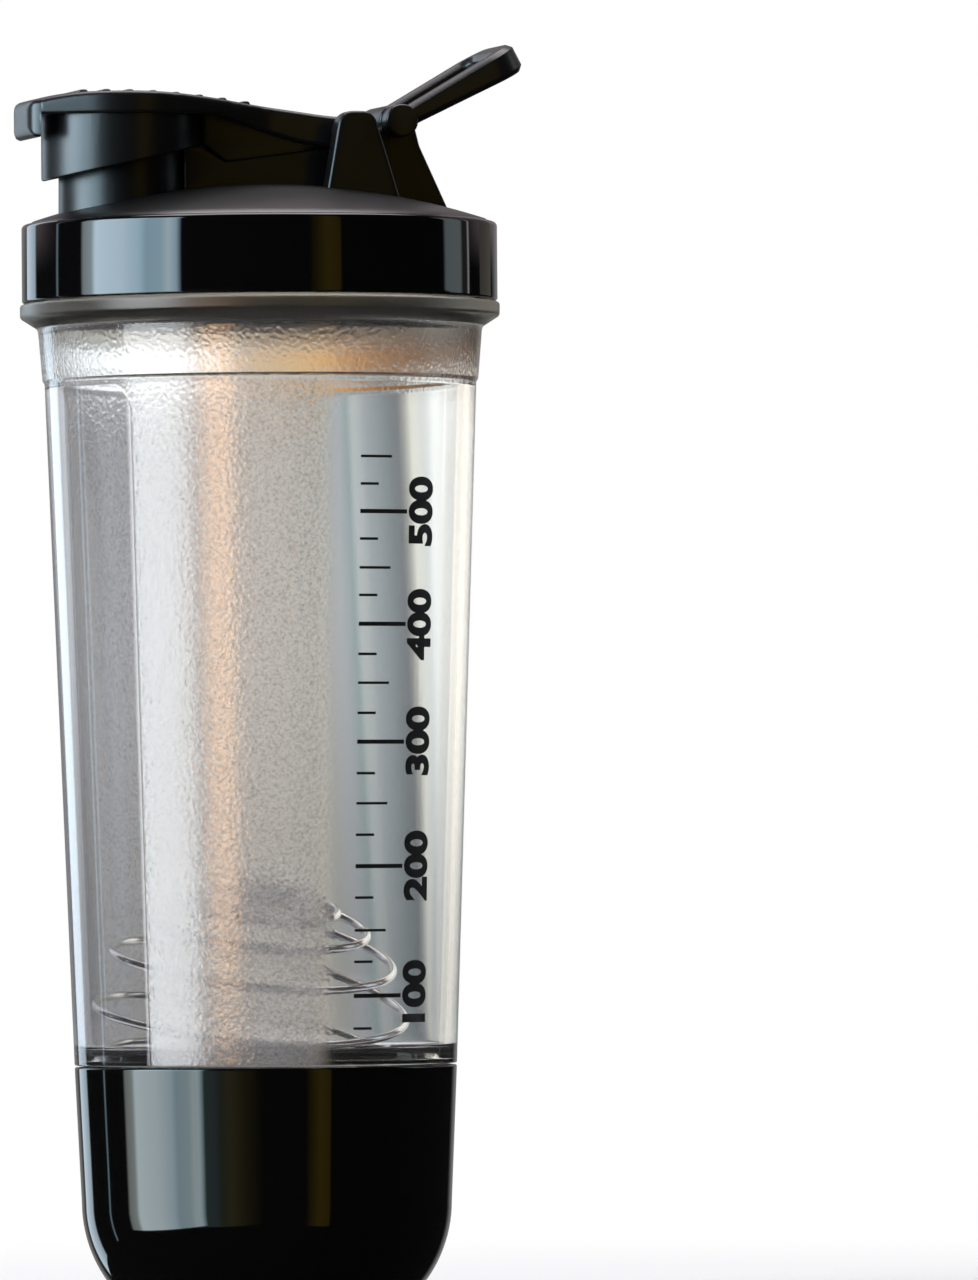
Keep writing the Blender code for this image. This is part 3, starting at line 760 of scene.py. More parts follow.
def loop_bracket():
    """Upright bracket behind the towers with a round head on the loop's pin."""
    foot_z = COLLAR_TOP_Z + 2.8
    head_r = 3.4
    outline = [(20.6, foot_z), (21.6, LOOP_PIN.z - 3.1)]
    for i in range(15):
        angle = math.radians(200.0 - 190.0 * i / 14)
        outline.append((LOOP_PIN.x + head_r * math.cos(angle), LOOP_PIN.z + head_r * math.sin(angle)))
    outline += fillet(
        [
            (outline[-1][0], outline[-1][1], 0.0),
            (30.2, LOOP_PIN.z - 4.7, 4.0),
            (36.4, COLLAR_TOP_Z + 1.4, 0.0),
        ],
        closed=False,
    )[1:]
    outline.append((30.0, COLLAR_TOP_Z + 1.4))
    return slab("bracket", outline, 2 * BRACKET_Y, 0.6, side_on())


def lid_shell(material):
    ceiling = NECK_RIM_Z + 2.0
    plug_in, plug_out, plug_low = 37.6, 39.1, COLLAR_LOW_Z + 7.5
    dome = dome_arc(0.0, 0.0, DOME_RIM_R - 0.6, 26)
    underside = dome_arc(2.2, plug_in, 0.0, 14)
    walls = fillet(
        [
            (*dome[-1], 0.0),
            (DOME_RIM_R, DOME_RIM_Z - 0.25, 0.5),
            (COLLAR_R, COLLAR_TOP_Z - 0.15, 0.9),
            (COLLAR_R, COLLAR_LOW_Z, 0.45),
            (COLLAR_IN_R, COLLAR_LOW_Z, 0.45),
            (COLLAR_IN_R, ceiling, 0.4),
            (plug_out, ceiling, 0.4),
            (plug_out, plug_low, 0.6),
            (plug_in, plug_low, 0.4),
            (*underside[0], 0.0),
        ],
        closed=False,
    )
    lid = lathe("black_lid_shell", dome + walls[1:-1] + underside, steps=168)
    spout_foot = COLLAR_TOP_Z + 0.8
    spout_profile = fillet(
        [
            (0.0, SPOUT_TOP_Z, 0.0),
            (SPOUT_R, SPOUT_TOP_Z, 0.9),
            (SPOUT_R + 0.15, spout_foot, 0.0),
            (0.0, spout_foot, 0.0),
        ],
        closed=False,
    )
    added = [lathe("spout", spout_profile, steps=96, centre=(SPOUT_X, 0.0))]
    added += lid_towers()
    added.append(loop_bracket())
    plinth_foot = COLLAR_TOP_Z + 2.8
    for y, thickness, raised in ((0.0, 14.4, 0.0), (-7.65, 1.1, 0.95), (7.65, 1.1, 0.95)):
        top = DOME_TOP_Z + raised
        plinth = fillet(
            [
                (-17.0, plinth_foot, 0.0),
                (-17.0, top + 6.0, 0.3),
                (-13.8, top + 6.0, 0.5),
                (-8.8, top + 3.1, 1.0),
                (9.0, top + 5.45, 1.0),
                (12.4, top + 5.45, 0.8),
                (12.4, plinth_foot, 0.0),
            ]
        )
        added.append(slab(f"plinth_{y}", plinth, thickness, 0.3, side_on(y)))
    added += bead_thread("lid_bead", COLLAR_IN_R, LID_BEAD_R, LID_LEAD, NECK_THREAD_Z - LID_LEAD / 4)
    combine(lid, added, "UNION")

    bore = [
        (0.0, SPOUT_TOP_Z + 1.0),
        (SPOUT_BORE_R + 1.2, SPOUT_TOP_Z + 1.0),
        (SPOUT_BORE_R + 0.7, SPOUT_TOP_Z - 0.1),
        (SPOUT_BORE_R + 0.25, SPOUT_TOP_Z - 0.5),
        (SPOUT_BORE_R, SPOUT_TOP_Z - 1.1),
        (SPOUT_BORE_R, ceiling - 2.0),
        (0.0, ceiling - 2.0),
    ]
    cuts = [lathe("bore", bore, steps=96, centre=(SPOUT_X, 0.0))]
    hole_low, hole_high = CAP_PIN_LOW.y - 0.4, TOWER_OUT_Y + 3.0
    cuts.append(pin_cutter("cap_pin_hole", CAP_PIN, hole_low, hole_high))
    cuts.append(pin_cutter("loop_pin_hole", LOOP_PIN, -16.0, 16.0))
    combine(lid, cuts, "DIFFERENCE")
    return finish_piece(lid, material, "lid", "lid_shell")


def pin_cutter(name, centre, low_y, high_y):
    rings = []
    for y in (low_y, high_y):
        ring = []
        for k in range(32):
            angle = 2 * math.pi * k / 32
            ring.append((centre.x + PIN_BORE_R * math.cos(angle), y, centre.z + PIN_BORE_R * math.sin(angle)))
        rings.append(ring)
    return skin(name, rings)


def hinge_pin(name, low, high, body, node_name, material):
    """A steel pin with chamfered ends and a shallow centre dimple."""
    radius = (high.z - low.z) / 2
    middle_x, middle_z = (low.x + high.x) / 2, (low.z + high.z) / 2
    end = [(0.0, 0.25), (0.35, 0.2), (0.6, 0.0), (radius - 0.35, 0.0), (radius, 0.35)]
    profile = [(r, low.y + dy) for r, dy in end] + [(r, high.y - dy) for r, dy in reversed(end)]
    pin = lathe(name, profile, steps=32)
    pin.data.transform(Matrix.Rotation(-math.pi / 2, 4, "X"))
    pin.data.transform(Matrix.Translation((middle_x * MM, 0.0, middle_z * MM)))
    return finish_piece(pin, material, body, node_name, sharp_deg=25.0)


def cap_half_width(x):
    """Half width of the flip cap seen from above: lip, disc, then the narrowing arm."""
    corner_x = LIP_END_X + LIP_CORNER_R
    cos_tangent = math.cos(math.radians(LIP_TANGENT_DEG))
    sin_tangent = math.sin(math.radians(LIP_TANGENT_DEG))
    lip_end = (corner_x + LIP_CORNER_R * cos_tangent, LIP_Y - LIP_CORNER_R + LIP_CORNER_R * sin_tangent)
    disc_start = (SPOUT_X + CAP_DISC_R * cos_tangent, CAP_DISC_R * sin_tangent)
    if x < lip_end[0]:
        return LIP_Y - LIP_CORNER_R + math.sqrt(max(0.0, LIP_CORNER_R**2 - (corner_x - x) ** 2))
    if x < disc_start[0]:
        share = (x - lip_end[0]) / (disc_start[0] - lip_end[0])
        return lip_end[1] + (disc_start[1] - lip_end[1]) * share
    from_spout = x - SPOUT_X
    tangent_x = CAP_DISC_R * math.cos(math.radians(70.0))
    if from_spout < tangent_x:
        return math.sqrt(max(0.0, CAP_DISC_R**2 - from_spout**2))
    tangent_y = CAP_DISC_R * math.sin(math.radians(70.0))
    share = min(1.0, (from_spout - tangent_x) / (-SPOUT_X - tangent_x))
    bend = share * share * (3 - 2 * share) * 0.35 + share * 0.65
    return tangent_y + (CAP_ARM_Y - tangent_y) * bend


CAP_TOP_LINE = [(-48.0, 5.0), (-46.4, 5.9), (-40.0, 7.2), (-32.0, 7.6), (-21.7, 7.4), (-12.0, 6.5), (-4.0, 5.4)]
CAP_TOP_LINE += [(5.0, 4.2), (11.0, 3.4), (16.0, 3.0)]
CAP_UNDER_LINE = [(-10.5, 3.0), (-3.0, 0.6), (4.0, -1.6), (8.0, -2.4), (12.0, -2.9), (16.0, -3.0)]
LIP_DROP_X = LIP_END_X + 2.0
LIP_UNDER = -1.3


def cap_section(x, shrink):
    """One rounded cross-section of the cap's plate: a ring of points at this X."""
    half = cap_half_width(x) - shrink
    top = CAP_PIN.z + spline(CAP_TOP_LINE, x) - shrink
    if x < LIP_DROP_X:
        under = CAP_PIN.z + LIP_UNDER + 1.2 * max(0.0, (LIP_END_X + 1.6 - x) / 1.6) ** 2 + shrink
    elif x < CAP_UNDER_LINE[0][0]:
        under = CAP_UNDER_Z
    else:
        under = CAP_PIN.z + spline(CAP_UNDER_LINE, x)
    round_r = min(1.1, (top - under) / 2 - 0.05)
    outline = fillet(
        [
            (-half, under, round_r * 0.7),
            (half, under, round_r * 0.7),
            (half, top - 0.35, round_r),
            (0.55 * half, top, 6.0),
            (-0.55 * half, top, 6.0),
            (-half, top - 0.35, round_r),
        ],
        step_deg=18.0,
    )
    return outline


def cap_plate():
    """The cap's plate as a loft along X. Every section has the same number of points."""
    front = LIP_END_X
    stations = [(front, 0.9), (front + 0.12, 0.5), (front + 0.35, 0.2), (front + 0.8, 0.0), (front + 1.6, 0.0)]
    stations += [(LIP_DROP_X - 0.02, 0.0), (LIP_DROP_X + 0.02, 0.0)]
    stations += [(front + 2.4, 0.0), (front + 3.4, 0.0), (front + 4.6, 0.0), (-41.4, 0.0)]
    x = -40.2
    while x < CAP_PIN.x - 0.6:
        stations.append((x, 0.0))
        x += 1.25
    stations.append((CAP_PIN.x - 0.3, 0.0))
    rings = []
    for x, shrink in stations:
        ring = resample(cap_section(x, shrink), 56)
        rings.append([(x, y, z) for y, z in ring])
    return skin("cap_plate", rings)


def resample(outline, count):
    """The outline with a fixed number of points, shared out so that corners keep theirs."""
    points = [Vector(p) for p in outline]
    total = len(points)
    lengths = [(points[(i + 1) % total] - points[i]).length for i in range(total)]
    extra = count - total
    if extra < 0:
        raise ValueError("outline has too many points")
    spare = [0] * total
    for _ in range(extra):
        longest = max(range(total), key=lambda i: lengths[i] / (spare[i] + 1))
        spare[longest] += 1
    made = []
    for i in range(total):
        step = (points[(i + 1) % total] - points[i]) / (spare[i] + 1)
        made += [points[i] + step * k for k in range(spare[i] + 1)]
    return made


def cap_skirt():
    """Ring round the spout whose lower rim slants up towards the hinge."""
    top = CAP_UNDER_Z + 1.0
    front_x = SPOUT_X - SKIRT_R
    low = CAP_UNDER_Z - 12.5
    slope = 0.228
    section = fillet([(SKIRT_R, top, 0.0), (SKIRT_R, low, 0.6), (SKIRT_IN_R, low, 0.6), (SKIRT_IN_R, top, 0.0)])
    skirt = lathe("cap_skirt", section, steps=120, centre=(SPOUT_X, 0.0), wrap=True)
    for vert in skirt.data.vertices:
        share = (top - vert.co.z / MM) / (top - low)
        vert.co.z += slope * (vert.co.x - front_x * MM) * share
    return skirt


def flip_cap(material):
    cap = cap_plate()
    cap.name = "flip_cap_shell"
    barrel = []
    for i in range(48):
        angle = 2 * math.pi * i / 48
        barrel.append((CAP_PIN.x + KNUCKLE_R * math.cos(angle), CAP_PIN.z + KNUCKLE_R * math.sin(angle)))
    keel = fillet(
        [
            (-13.0, CAP_PIN.z + 4.0, 0.0),
            (-13.0, CAP_PIN.z - 2.4, 1.0),
            (-8.2, CAP_PIN.z - 6.3, 1.5),
            (9.0, CAP_PIN.z - 4.0, 1.5),
            (12.0, CAP_PIN.z - 1.4, 1.0),
            (12.0, CAP_PIN.z + 1.0, 0.0),
        ]
    )
    boss = fillet(
        [
            (0.0, CAP_UNDER_Z + 1.5, 0.0),
            (3.0, CAP_UNDER_Z + 1.5, 0.0),
            (3.0, CAP_UNDER_Z - 4.2, 0.5),
            (0.0, CAP_UNDER_Z - 4.2, 0.0),
        ],
        closed=False,
    )
    added = [
        cap_skirt(),
        slab("knuckle", barrel, 2 * KNUCKLE_Y, 0.5, side_on()),
        slab("keel", keel, 13.0, 0.7, side_on()),
        lathe("boss", boss, steps=40, centre=(SPOUT_X, 0.0)),
    ]
    added += grip_ribs()
    combine(cap, added, "UNION")
    combine(cap, [pin_cutter("knuckle_hole", CAP_PIN, -15.0, 15.0)], "DIFFERENCE")
    return finish_piece(cap, material, "cap", "flip_cap", sharp_deg=38.0)


def grip_ribs():
    """Eight low ribs across the cap's crown."""
    ribs = []
    pitch, width = 4.6, 1.8
    for i in range(8):
        x = SPOUT_X - 10.0 + pitch * i
        top = CAP_PIN.z + spline(CAP_TOP_LINE, x + width / 2) + 0.5
        outline = fillet([(x, top - 1.4, 0.0), (x + width, top - 1.4, 0.0), (x + width, top, 0.7), (x, top, 0.7)])
        ribs.append(slab(f"rib_{i}", outline, 14.0, 0.4, side_on(), round_steps=3))
    return ribs


def spout_seal_plug(material):
    stem_r = SPOUT_BORE_R - 0.5
    shelf = SPOUT_TOP_Z + 0.4
    rim_r = PLUG_HIGH.x - SPOUT_X
    section = fillet(
        [
            (rim_r, PLUG_HIGH.z, 0.4),
            (rim_r, shelf, 0.5),
            (stem_r + 0.1, shelf, 0.3),
            (stem_r + 0.1, shelf - 1.2, 0.3),
            (stem_r - 0.2, shelf - 1.7, 0.3),
            (stem_r, PLUG_LOW.z + 0.8, 0.5),
            (stem_r - 0.7, PLUG_LOW.z, 0.3),
            (stem_r - 2.0, PLUG_LOW.z, 0.4),
            (stem_r - 2.0, shelf - 0.6, 0.6),
            (3.4, shelf - 0.6, 0.3),
            (3.4, PLUG_HIGH.z, 0.3),
        ]
    )
    plug = lathe("spout_seal", section, steps=96, centre=(SPOUT_X, 0.0), wrap=True)
    return finish_piece(plug, material, "cap", "spout_seal_plug")


def loop_path():
    """Middle line of the loop in its own plane: (along, across) points from one eye round to the other."""
    leg = (LOOP_LEG_IN + LOOP_LEG_OUT) / 2
    far = (LOOP_REACH + LOOP_OPENING) / 2
    corner = 4.6
    return fillet([(0.0, -leg, 0.0), (far, -leg, corner), (far, leg, corner), (0.0, leg, 0.0)], closed=False, step_deg=9.0)


def carry_loop(material):
    """A swept U with flat faces and chamfered rims that thickens towards its far end, on two round eyes."""
    path = []
    for a, b in zip(loop_path(), loop_path()[1:]):
        steps = max(1, round((Vector(b) - Vector(a)).length / 2.0))
        path += [Vector(a).lerp(Vector(b), k / steps) for k in range(steps)]
    path.append(Vector(loop_path()[-1]))
    rings = []
    for i, point in enumerate(path):
        along = (path[min(i + 1, len(path) - 1)] - path[max(i - 1, 0)]).normalized()
        across = Vector((along.y, -along.x))
        out = point.x / LOOP_REACH
        thick = 3.7 + 2.1 * min(1.0, out * 1.1)
        wide = 4.2 + 0.8 * max(0.0, out - 0.55) / 0.45
        chamfer = 1.0
        section = fillet(
            [
                (-wide / 2, -thick / 2, 0.0),
                (wide / 2, -thick / 2, 0.0),
                (wide / 2, thick / 2, 0.0),
                (-wide / 2, thick / 2, 0.0),
            ]
        )
        cut = [
            (x * (1 - 2 * chamfer / wide * flip), y * (1 - 2 * chamfer / thick * (1 - flip)))
            for (x, y), order in zip(section, ((0, 1), (1, 0), (0, 1), (1, 0)))
            for flip in order
        ]
        rings.append([(point.x + across.x * x, point.y + across.y * x, y) for x, y in round_corners(cut, 0.35)])
    loop = skin("carry_loop_bar", rings)
    eyes = []
    for side in (-1, 1):
        circle = []
        for k in range(40):
            angle = 2 * math.pi * k / 40
            circle.append((LOOP_EYE_R * math.cos(angle), LOOP_EYE_R * math.sin(angle)))
        middle = side * (LOOP_LEG_IN + LOOP_LEG_OUT) / 2
        eyes.append(slab(f"eye_{side}", circle, LOOP_LEG_OUT - LOOP_LEG_IN, 0.5, side_on(middle)))
    combine(loop, eyes, "UNION")
    tilt = Matrix.Translation(LOOP_PIN * MM) @ Matrix.Rotation(math.radians(-LOOP_REST_DEG), 4, "Y")
    loop.data.transform(tilt)
    combine(loop, [pin_cutter("loop_hole", LOOP_PIN, LOOP_PIN_LOW.y - 0.4, 20.0)], "DIFFERENCE")
    return finish_piece(loop, material, "loop", "carry_loop", sharp_deg=30.0)


def round_corners(outline, radius):
    return fillet([(x, y, radius) for x, y in outline], step_deg=25.0)


def whisk_points(wire_r, per_turn=60):
    """The wire's centre line: its turn for each radian of polar angle grows towards the poles."""
    wide_winding, end_winding = 13.5, 16.0
    end_polar, tilt_deg, lean_deg = 0.15, 14.0, 6.0
    ball_r, half_h = 30.2, 25.0
    shift_x, shift_y = -2.4, 2.4

    def winding(polar):
        return wide_winding * polar + end_winding * (polar / 2 + math.sin(2 * polar) / 4)

    sweep = winding(math.pi - end_polar) - winding(end_polar)
    count = round(per_turn * sweep / (2 * math.pi))
    tilt = Matrix.Rotation(math.radians(lean_deg), 3, "Y") @ Matrix.Rotation(math.radians(tilt_deg), 3, "X")
    points = []
    polar = end_polar
    for i in range(count + 1):
        angle = sweep * i / count
        ring = ball_r * math.sin(polar)
        points.append(tilt @ Vector((ring * math.cos(angle), ring * math.sin(angle), -half_h * math.cos(polar))))
        slope = wide_winding + end_winding * math.cos(polar) ** 2
        middle = polar + sweep / count / slope / 2
        polar += sweep / count / (wide_winding + end_winding * math.cos(middle) ** 2)
    lift = WHISK_LOW.z + wire_r - min(point.z for point in points)
    return [point + Vector((shift_x, shift_y, lift)) for point in points]


def whisk_ball(material):
    wire_r = 0.82
    points = whisk_points(wire_r)
    whisk = tube("steel_whisk_ball", points, [wire_r] * len(points), sides=14)
    return finish_piece(whisk, material, "whisk", "whisk_ball", sharp_deg=50.0)


# ---------------------------------------------------------------- printed scale


def fill_height(volume_ml):
    """Height of the drink's surface for this volume, from the body's inner wall."""
    z = BODY_FLOOR_Z
    filled = 0.0
    while filled < volume_ml * 1000.0:
        radius = SPIGOT_IN_R if z < CUP_RIM_Z else body_wall_r(z) - WALL
        filled += math.pi * radius**2 * 0.25
        z += 0.25
    return z


def wrap_on_wall(obj, middle_deg):
    """Bends a flat print onto the tapered wall: its X becomes arc length, its Z height, its Y depth."""
    for vert in obj.data.vertices:
        across, depth, height = vert.co / MM
        radius = body_wall_r(height) + 0.03 - depth
        angle = math.radians(middle_deg) + across / body_wall_r(height)
        vert.co = Vector((radius * math.cos(angle), radius * math.sin(angle), height)) * MM


def ink_bar(name, across, height, width, tall):
    """A thin printed bar, fine enough along X to follow the wall."""
    steps = max(2, round(width))
    rings = []
    for i in range(steps + 1):
        x = across - width / 2 + width * i / steps
        rings.append([(x, d, height + h) for d, h in ((0, -tall / 2), (-0.06, -tall / 2), (-0.06, tall / 2), (0, tall / 2))])
    return skin(name, rings)


def ink_number(name, words, across, height, size):
    """Digits that read upwards, as a thin printed solid."""
    data = bpy.data.curves.new(name, "FONT")
    data.body = words
    data.size = size * MM
    data.align_x = "CENTER"
    data.align_y = "CENTER"
    data.extrude = 0.03 * MM
    data.offset = 0.045 * size * MM
    text = bpy.data.objects.new(name + "_text", data)
    bpy.context.scene.collection.objects.link(text)
    bpy.context.view_layer.update()
    mesh = bpy.data.meshes.new_from_object(text.evaluated_get(bpy.context.evaluated_depsgraph_get()))
    bpy.data.objects.remove(text)
    work = bmesh.new()
    work.from_mesh(mesh)
    bmesh.ops.remove_doubles(work, verts=work.verts, dist=1e-6)
    work.to_mesh(mesh)
    work.free()
    obj = bpy.data.objects.new(name, mesh)
    bpy.context.scene.collection.objects.link(obj)
    upright = Matrix.Rotation(math.pi / 2, 4, "X") @ Matrix.Rotation(math.pi / 2, 4, "Z")
    mesh.transform(Matrix.Translation((across * MM, -0.03 * MM, height * MM)) @ upright)
    return obj


def join_objects(name, objects):
    """One object from several, as separate shells."""
    work = bmesh.new()
    for obj in objects:
        work.from_mesh(obj.data)
        bpy.data.objects.remove(obj)
    mesh = bpy.data.meshes.new(name)
    work.to_mesh(mesh)
    work.free()
    made = bpy.data.objects.new(name, mesh)
    bpy.context.scene.collection.objects.link(made)
    return made


def measuring_scale(material):
    """Printed fill marks: a bar every 25 ml, longer at 50 and 100, and a number every 100."""
    parts = []
    for step in range(2, 23):
        volume = 25 * step
        width = 11.0 if volume % 100 == 0 else 7.0 if volume % 50 == 0 else 4.0
        z = fill_height(volume)
        parts.append(ink_bar(f"bar_{volume}", -5.5 + width / 2, z, width, 0.8 if volume % 100 == 0 else 0.5))
    for volume in (100, 200, 300, 400, 500):
        parts.append(ink_number(f"number_{volume}", str(volume), 9.8, fill_height(volume), 8.8))
    scale = join_objects("printed_scale", parts)
    wrap_on_wall(scale, SCALE_DEG)
    return finish_piece(scale, material, "bottle", None, sharp_deg=60.0)


# ---------------------------------------------------------------- stage


VIEW_DEG = -105.0


def colour_line(tree, value, stops):
    """Colours along a value, from (value, (r, g, b)) stops."""
    low, high = stops[0][0], stops[-1][0]
    share = math_node(tree, "MULTIPLY_ADD", value, 1.0 / (high - low), -low / (high - low), clamp=True)
    made = node(tree, "ShaderNodeValToRGB", None, Fac=share)
    elements = made.color_ramp.elements
    while len(elements) < len(stops):
        elements.new(0.5)
    for element, (place, colour) in zip(elements, stops):
        element.position = (place - low) / (high - low)
        element.color = (*colour, 1.0)
    return made.outputs["Color"]


def world_shader():
    """White to the camera, grey through clear plastic, nearly black in reflections but for a pale low sky behind."""
    world = bpy.data.worlds.new("studio")
    world.use_nodes = True
    tree = world.node_tree
    tree.nodes.clear()
    direction = node(tree, "ShaderNodeTexCoord").outputs["Generated"]
    split = node(tree, "ShaderNodeSeparateXYZ", None, Vector=direction)
    angle = math.radians(VIEW_DEG)
    behind = node(
        tree, "ShaderNodeVectorMath", {"operation": "DOT_PRODUCT"}, _0=direction, _1=(-math.cos(angle), -math.sin(angle), 0.0)
    ).outputs["Value"]
    low_sky = ramp(tree, behind, 0.35, 0.85)
    above = ramp(tree, split.outputs["Z"], 0.02, 0.10)
    low_sky = math_node(tree, "MULTIPLY", low_sky, above)
    grazing = ramp(tree, behind, 0.88, 0.97)
    reflected = mix_colour(tree, low_sky, (0.010, 0.010, 0.010, 1.0), (0.42, 0.34, 0.37, 1.0))
    reflected = mix_colour(tree, grazing, reflected, (0.30, 0.30, 0.30, 1.0))
    paths = node(tree, "ShaderNodeLightPath").outputs
    tone = mix_colour(tree, paths["Is Transmission Ray"], (0.22, 0.22, 0.23, 1.0), (0.34, 0.34, 0.36, 1.0))
    tone = mix_colour(tree, paths["Is Glossy Ray"], tone, reflected)
    tone = mix_colour(tree, paths["Is Camera Ray"], tone, (1.0, 1.0, 1.0, 1.0))
    background = node(tree, "ShaderNodeBackground", None, Color=tone, Strength=1.0)
    output = node(tree, "ShaderNodeOutputWorld")
    tree.links.new(background.outputs[0], output.inputs["Surface"])
    bpy.context.scene.world = world


def card(name, from_view_deg, distance, low_z, high_z, stops, high_stops=None, change_z=0.0, see_through=False, spread_per_mm=0.0, spread_z=174.0, dim_below=0.0):
    """An upright glowing card facing the bottle's axis.

    from_view_deg is its direction from the camera's side, positive to the camera's right. stops gives its radiance
    across, by millimetres from its middle; high_stops takes over above change_z. A see_through card hides nothing.
    """
    angle = math.radians(VIEW_DEG + from_view_deg)
    out = Vector((math.cos(angle), math.sin(angle), 0.0))
    across = Vector((-out.y, out.x, 0.0))
    corners = []
    for s, z in ((stops[0][0], low_z), (stops[-1][0], low_z), (stops[-1][0], high_z), (stops[0][0], high_z)):
        corners.append((s, 0.0, z))
    obj = mesh_object(name, corners, [(0, 1, 2, 3)])
    obj.location = out * distance * MM
    obj.rotation_euler = Matrix(((across.x, -out.x, 0.0), (across.y, -out.y, 0.0), (0.0, 0.0, 1.0))).to_euler()
    made = bpy.data.materials.new(name)
    made.use_nodes = True
    tree = made.node_tree
    tree.nodes.clear()
    place = node(tree, "ShaderNodeTexCoord").outputs["Object"]
    split = node(tree, "ShaderNodeSeparateXYZ", None, Vector=place).outputs
    s_mm = math_node(tree, "MULTIPLY", split["X"], 1.0 / MM)
    if spread_per_mm:
        from_z = math_node(tree, "MULTIPLY_ADD", split["Z"], 1.0 / MM, -spread_z)
        s_mm = math_node(tree, "MULTIPLY", s_mm, math_node(tree, "MULTIPLY_ADD", from_z, spread_per_mm, 1.0))
    strength = max(max(colour) for _, colour in stops + (high_stops or []))
    colour = colour_line(tree, s_mm, brighter(stops, 1.0 / strength))
    if high_stops:
        over = ramp(tree, split["Z"], (change_z - 6.0) * MM, (change_z + 6.0) * MM)
        colour = mix_colour(tree, over, colour, colour_line(tree, s_mm, brighter(high_stops, 1.0 / strength)))
    if dim_below:
        strength = ramp(tree, split["Z"], (dim_below - 90.0) * MM, dim_below * MM, 0.62 * strength, strength)
    glow = node(tree, "ShaderNodeEmission", None, Color=colour, Strength=strength)
    output = node(tree, "ShaderNodeOutputMaterial")
    if see_through:
        glow = node(tree, "ShaderNodeAddShader", None, _0=glow.outputs[0], _1=node(tree, "ShaderNodeBsdfTransparent").outputs[0])
    tree.links.new(glow.outputs[0], output.inputs["Surface"])
    obj.data.materials.append(made)
    obj.visible_camera = False
    obj.visible_shadow = False
    return obj


def brighter(stops, factor):
    return [(place, tuple(factor * c for c in colour)) for place, colour in stops]


def area_light(name, from_view_deg, distance, width, radiance):
    """A tall neutral soft light that only reaches matt surfaces."""
    low_z, high_z = -400.0, 1000.0
    strongest = max(radiance)
    data = bpy.data.lights.new(name, "AREA")
    data.shape = "RECTANGLE"
    data.size = width * MM
    data.size_y = (high_z - low_z) * MM
    data.energy = strongest * math.pi * data.size * data.size_y
    data.color = [c / strongest for c in radiance]
    light = bpy.data.objects.new(name, data)
    bpy.context.scene.collection.objects.link(light)
    angle = math.radians(VIEW_DEG + from_view_deg)
    out = Vector((math.cos(angle), math.sin(angle), 0.0))
    light.location = (out * distance + Vector((0.0, 0.0, (low_z + high_z) / 2))) * MM
    light.rotation_euler = (-out).to_track_quat("-Z", "Y").to_euler()
    light.visible_camera = False
    light.visible_glossy = False
    light.visible_transmission = False
    return light


